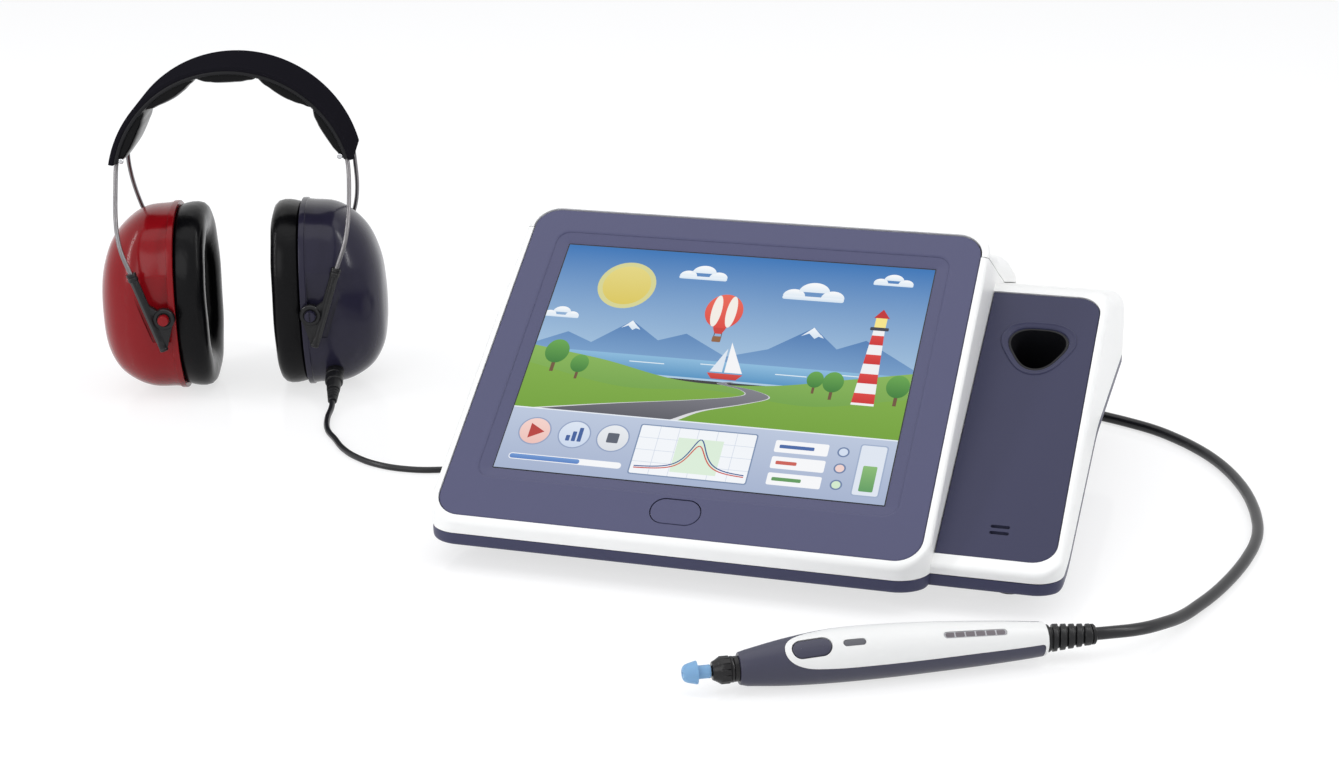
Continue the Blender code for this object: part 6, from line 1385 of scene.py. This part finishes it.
cup_red = moulded("cup_red", srgb(132, 12, 20), (0.16, 0.20), 0.05, 1200.0, 0.004, specular=0.22)
cup_blue = moulded("cup_blue", srgb(38, 36, 53), (0.16, 0.20), 0.05, 1200.0, 0.004, specular=0.22)
for side, colour, finish, slot, body in ((-1, "red", cup_red, "red_shell", "red_cup"),
                                         (1, "blue", cup_blue, "blue_shell", "base")):
    pivot = (side * pivot_side, 0.0, pivot_rise)
    recess_outline = [(side * across * mm, rise * mm) for across, rise in (
        (34.9, 33.8), (44.0, 33.8), (58.5, 77.5), (48.0, 77.5), (34.9, 68.0))]
    recesses = [facing(recess_outline, cup_half_width - 2.5 * mm, cup_half_width + 9.0 * mm, face)
                for face in (-1, 1)]
    pin_room = turned(in_metres(((0.0, -42.0), (2.4, -42.0), (2.4, 42.0), (0.0, 42.0))), 32, along_y, pivot)
    made(colour + "_cup", carved(cup_form(side), *cuts(cup_form(side, cup_wall), *recesses, pin_room)), finish, body,
         (colour + "_cup_shell",), headset_seat, 34.0)
    half_pin = ((0.0, 44.7), (2.1, 44.7), (2.6, 44.5), (2.8, 44.0), (2.8, 35.2), (2.35, 35.2))
    pin = turned(in_metres([*((radius, -place) for radius, place in half_pin), *reversed(half_pin)]), 40, along_y,
                 pivot)
    if side > 0:
        pin = carved(pin, *cuts(block((pivot_side - 0.35 * mm, -46.0 * mm, pivot_rise - 4.0 * mm),
                                      (pivot_side + 0.35 * mm, -43.3 * mm, pivot_rise + 4.0 * mm))))
    made(colour + "_pivot_pin", pin, finish, body, (), headset_seat)
ear_foam = moulded("ear_foam", srgb(26, 26, 29), (0.7, 0.8), 0.2, 700.0, 0.08)
dress(ear_foam, "red_driver_plate", "blue_driver_plate")


# Ear cushions. Rings of soft foam in a black glossy leather-like cover, full at the face side, drawn in
# at the seam where they clip into the cup, with fine creases from the cover's stretch.
leather = moulded("soft_leather", srgb(9, 9, 11), (0.2, 0.3), 0.1, 1100.0, 0.04, specular=0.12)
tree = leather.node_tree
place = add_node(tree, "ShaderNodeTexCoord", -1300, -500)
crease = add_node(tree, "ShaderNodeTexNoise", -1100, -500, {"Scale": 90.0, "Detail": 3.0, "Distortion": 1.2})
deep = add_node(tree, "ShaderNodeBump", -250, -520, {"Strength": 0.35, "Distance": 0.0006})
join(tree, (place, "Object", crease, "Vector"), (crease, "Fac", deep, "Height"))
tree.links.new(deep.outputs["Normal"], tree.nodes["Bump"].inputs["Normal"])
opening_half = (19.0 * mm, 29.0 * mm)
cushion_depth = 14.5
cushion_section = ((0.0, 0.86), (0.03, 0.93), (0.08, 0.945), (0.14, 0.955), (0.24, 0.975), (0.42, 0.998), (0.62, 1.0),
                   (0.80, 0.965), (0.93, 0.87), (0.985, 0.74), (1.0, 0.58), (0.985, 0.42), (0.93, 0.27), (0.82, 0.13),
                   (0.64, 0.03), (0.44, 0.0), (0.24, 0.02), (0.08, 0.10), (0.0, 0.20))
for side, colour, body in ((-1, "red", "red_cup"), (1, "blue", "base")):
    rings = []
    for index in range(oval_points):
        angle = 2 * math.pi * index / oval_points
        swell = 1.0 + 0.012 * math.sin(7 * angle) * math.cos(3 * angle)
        ring = []
        for depth_share, width_share in cushion_section:
            half_width, half_height = (inner + width_share * (outer - 0.6 * mm - inner) for inner, outer in zip(
                opening_half, (cup_half_width, cup_half_height)))
            depth = depth_share * cushion_depth * mm * (swell if depth_share > 0.5 else 1.0)
            ring.append((side * (rim_inner - 0.3 * mm - depth), half_width * filled(math.cos(angle), 0.88),
                         cup_half_height + half_height * filled(math.sin(angle), 0.88)))
        rings.append(ring)
    cushion = made(colour + "_ear_cushion", bridged(rings, closed=True), leather, body,
                   (colour + "_cushion",), headset_seat, 60.0)


# Headband. A sewn cover of the same black leather-like sheet over foam, with five pads towards the head,
# a thin flat outer strap, and ribbed piping along both edges. Two rivets close each of its ends.
band_radius = 62.6 * mm
band_centre_rise = 109.0 * mm
band_end_angle = 13.0 * degree
band_sweep = math.pi - 2 * band_end_angle
band_half = 22.0 * mm


def band_point(angle, radius, along):
    """A point of the headband at an angle of its arc, a radius, and a place along its width."""
    return (radius * math.cos(angle), along, band_centre_rise + radius * math.sin(angle))


pad_rings = []
pad_steps = 200
for index in range(pad_steps + 1):
    share = index / pad_steps
    angle = band_end_angle + (0.004 + 0.992 * share) * band_sweep
    wave = abs(math.sin(math.pi * 5 * share)) ** 0.6
    gather = (1.0 - wave) * math.sin(math.pi * 50 * share) * 0.9 + 0.3 * math.sin(math.pi * 15 * share + 0.6)
    puff = 0.1 + 0.9 * wave
    deep = (2.3 + 5.6 * puff + 0.45 * gather) * mm
    half = band_half - (2.3 - 1.0 * puff) * mm
    outer = band_radius - 1.7 * mm
    ring = []
    for step in range(32):
        turn = 2 * math.pi * step / 32
        across = filled(math.cos(turn), 0.42) * half
        rise = math.sin(turn)
        height = 0.5 * filled(rise, 0.62 if rise > 0 else 0.5)
        crown = 1.0 if rise > 0 else 1.0 + 0.14 * puff * (1.0 - (across / half) ** 2)
        ring.append(band_point(angle, outer - deep / 2 + height * deep * crown, across))
    pad_rings.append(ring)
pad = made("headband_pads", bridged(pad_rings), leather, "band", ("headband",), headset_seat, 60.0)
strap_leather = moulded("strap_leather", srgb(27, 26, 31), (0.4, 0.5), 0.1, 1300.0, 0.04, specular=0.0)
half_strap = ((21.2, 0.0), (21.75, 0.2), (22.0, 0.6), (22.0, 2.0), (21.6, 2.5), (20.8, 2.7))
strap_section = [*((-across, depth) for across, depth in half_strap), *reversed(half_strap)]
strap = bridged([[band_point(band_end_angle + band_sweep * index / 72, band_radius - depth * mm, across * mm)
                  for across, depth in strap_section] for index in range(73)])
made("headband_strap", strap, strap_leather, "band", (), headset_seat, 60.0)
piping_rubber = moulded("piping", srgb(24, 24, 27), (0.3, 0.4), 0.1, 900.0, 0.02)
rib_steps = 300
for label, face in (("front", -1), ("rear", 1)):
    rings = []
    for index in range(rib_steps + 1):
        angle = band_end_angle + band_sweep * (0.006 + 0.988 * index / rib_steps)
        size = (1.42 if index % 2 else 1.16) * mm
        rings.append([band_point(angle, band_radius - 3.3 * mm + size * 1.05 * math.sin(turn),
                                 face * (band_half - 1.45 * mm) + size * math.cos(turn))
                      for turn in (2 * math.pi * step / 8 for step in range(8))])
    made("headband_piping_" + label, bridged(rings), piping_rubber, "band", (), headset_seat, 70.0)
rivets = bmesh.new()
for side in (-1, 1):
    for face in (-1, 1):
        angle = band_end_angle + 0.055 if side > 0 else math.pi - band_end_angle - 0.055
        taken_in(rivets, turned(
            in_metres(((0.0, 0.0), (1.3, 0.0), (1.3, 0.5), (1.0, 0.8), (0.5, 0.9), (0.0, 0.92))), 24,
            along_y if face > 0 else along_y.inverted(),
            band_point(angle, band_radius - 6.0 * mm, face * (band_half - 0.6 * mm))))
made("headband_rivets", rivets, bright_steel, "band", (), headset_seat)


# Spring wires. Two polished steel wires run from the clips of one cup through the headband to the
# clips of the other cup, and press the cups together.
chrome = moulded("chrome_wire", srgb(122, 120, 122), (0.30, 0.34), 0.01, 600.0, 0.0, metallic=1.0)


def clip_spot(side, along, across=0.0):
    """A point in the clip's plane: along it from its foot, and across it towards the cushion."""
    lean = side * clip_lean
    return (side * clip_foot_side + along * math.sin(lean) - side * across * math.cos(lean),
            clip_foot_rise + along * math.cos(lean) + side * across * math.sin(lean))


def swept(points, radius, sides=20):
    """A round rod along a smooth path."""
    spots = [Vector(point) for point in points]
    rings = []
    side_way = None
    for index, spot in enumerate(spots):
        ahead = (spots[min(index + 1, len(spots) - 1)] - spots[max(index - 1, 0)]).normalized()
        if side_way is None:
            side_way = ahead.orthogonal().normalized()
        side_way = (side_way - ahead * side_way.dot(ahead)).normalized()
        over = ahead.cross(side_way)
        rings.append([spot + (side_way * math.cos(turn) + over * math.sin(turn)) * radius
                      for turn in (2 * math.pi * step / sides for step in range(sides))])
    return bridged(rings)


def wire_path(face):
    """The middle line of a wire, from inside the red clip over the band to inside the blue clip."""
    over = []
    arc_radius = band_radius - 3.1 * mm
    wire_side = 17.0 * mm
    for index in range(17):
        angle = math.pi - band_end_angle - index * band_sweep / 16
        over.append(Vector(band_point(angle, arc_radius, face * wire_side)))
    foot = clip_spot(-1, clip_length - 33.0 * mm)
    mouth = clip_spot(-1, clip_length)
    start = over[0]
    drop = start.z - mouth[1]
    legs = [Vector((foot[0], face * clip_middle, foot[1])), Vector((mouth[0], face * clip_middle, mouth[1]))]
    for rise_share, side_share, out in ((0.20, 0.94, 0.62), (0.42, 0.72, 0.93), (0.62, 0.42, 1.04),
                                        (0.82, 0.14, 1.035)):
        across = wire_side + (clip_middle - wire_side) * side_share
        legs.append(Vector((mouth[0] + (start.x - mouth[0]) * out, face * across, mouth[1] + drop * rise_share)))
    mirrored = [Vector((-point.x, point.y, point.z)) for point in reversed(legs)]
    route = smooth_route([legs[0], *legs, *over, *mirrored, mirrored[-1]], 2.5 * mm)
    spots = [Vector(point) for point in route[1:-1]]
    for turn in range(8):
        spots[1:-1] = [(before + 2 * here + after) / 4 for before, here, after in zip(spots, spots[1:], spots[2:])]
    return spots


for label, face in (("front", -1), ("rear", 1)):
    made("spring_" + label, swept(wire_path(face), 1.1 * mm), chrome, "band", (label + "_wire",),
         headset_seat, 60.0)


# Wire clips. Black nylon sleeves with a collar at the mouth, a ribbed foot, and a web with an eye that
# turns on the cup's pin. The wire slides in the sleeve to set the height.
clip_black = moulded("clip_black", srgb(18, 18, 20), (0.24, 0.32), 0.08, 1500.0, 0.012, specular=0.3)
sleeve_profile = in_metres((
    (0.0, 0.0), (1.9, 0.0), (2.15, 0.25), (2.25, 1.0), (2.0, 1.5), (2.2, 2.2), (2.0, 2.9), (2.2, 3.6), (2.0, 4.3),
    (2.05, 6.0), (2.0, 38.6), (2.5, 38.9), (2.6, 39.2), (2.6, 40.6), (2.35, 40.9), (2.35, 41.3), (2.6, 41.6),
    (2.6, 42.6), (2.35, 43.0), (1.4, 43.0), (1.4, 12.0), (0.0, 12.0)))
eye_profile = in_metres(((2.95, -1.3), (5.0, -1.3), (5.4, -0.9), (5.4, 1.6), (5.0, 2.1), (3.6, 2.1), (3.2, 1.7),
                         (2.95, 1.7)))
hole_profile = in_metres(((0.0, -60.0), (2.95, -60.0), (2.95, 60.0), (0.0, 60.0)))
eye_radius = 5.4 * mm
for side, colour, body in ((-1, "red", "red_clips"), (1, "blue", "blue_clips")):
    for label, face in (("front", -1), ("rear", 1)):
        middle = face * clip_middle

        def spot(along, across=0.0):
            first, second = clip_spot(side, along, across)
            return Vector((first, middle, second))

        up = (spot(10.0 * mm) - spot(0.0)).normalized()
        sideways = Vector((0.0, 1.0, 0.0))
        sleeve_view = Matrix(((*sideways.cross(up), 0.0), (*sideways, 0.0), (*up, 0.0), (0, 0, 0, 1))).transposed()
        sleeve = turned(sleeve_profile, 32, sleeve_view, spot(0.0))
        web = [clip_spot(side, 1.4 * mm, 0.0), clip_spot(side, 1.2 * mm, 2.2 * mm)]
        for angle in ((-62.0 + 12.0 * index) * degree for index in range(15)):
            web.append(clip_spot(side, pivot_along + eye_radius * math.sin(angle),
                                 clip_offset + eye_radius * math.cos(angle)))
        web += [clip_spot(side, pivot_along + 9.6 * mm, 1.4 * mm), clip_spot(side, pivot_along + 11.0 * mm, 0.0)]
        web_plate = facing(web, clip_near + 0.5 * mm, clip_near + 3.3 * mm, face)
        eye_ring = turned(eye_profile, 40, along_y if face > 0 else along_y.inverted(),
                          (side * pivot_side, face * (clip_near + 1.8 * mm), pivot_rise))
        eye_hole = turned(hole_profile, 40, along_y, (side * pivot_side, 0.0, pivot_rise))
        unturned = (Matrix.Translation(spot(0.0)) @ sleeve_view).inverted()
        for vertex in sleeve.verts:
            local = unturned @ vertex.co
            if 5.0 * mm < local.z < 38.7 * mm and local.xy.length > 1.8 * mm:
                flute = 1.0 + 0.10 * math.cos(4.0 * math.atan2(local.y, local.x))
                vertex.co = unturned.inverted() @ Vector((local.x * flute, local.y * flute, local.z))
        clip = carved(sleeve, ("UNION", web_plate), ("UNION", eye_ring), *cuts(eye_hole))
        made(colour + "_" + label + "_wire_clip", clip, clip_black, body,
             (colour + "_" + label + "_clip",), headset_seat)


# Cable gland on the left cup. A black rubber sleeve with a collar and thin bending ribs, from which the
# headset's cord leaves forward and down to the table.
gland_view = Matrix.Rotation(math.pi / 2 + gland_fall, 4, "X")
gland_profile = [(0.0, -33.0), (4.6, -33.0), (4.6, -20.4), (4.3, -20.1), (4.3, -19.8), (4.6, -19.5), (4.6, -15.6),
                 (4.35, -15.1), (3.85, -14.9), (3.4, -9.2), (3.2, -8.9), (2.75, -8.8)]
for low, outer in ((-8.5 + index * 1.8, 3.1 - 0.2 * index) for index in range(4)):
    gland_profile += [(outer - 0.4, low), (outer - 0.4, low + 0.4), (outer, low + 0.6), (outer - 0.04, low + 1.45)]
gland_profile += [(2.3, -1.6), (2.3, -0.4), (2.0, 0.0), (0.0, 0.0)]
gland = carved(turned(in_metres(gland_profile), 40, gland_view, gland_exit), *cuts(cup_form(1, -0.1 * mm)))
made("cord_gland", gland, rubber_black, "base", ("cup_gland",), headset_seat)


# Both cords are free and limp, each with a plug pushed in at the rear panel of the device.
dress(black_plastic, "probe_plug", "headset_plug")
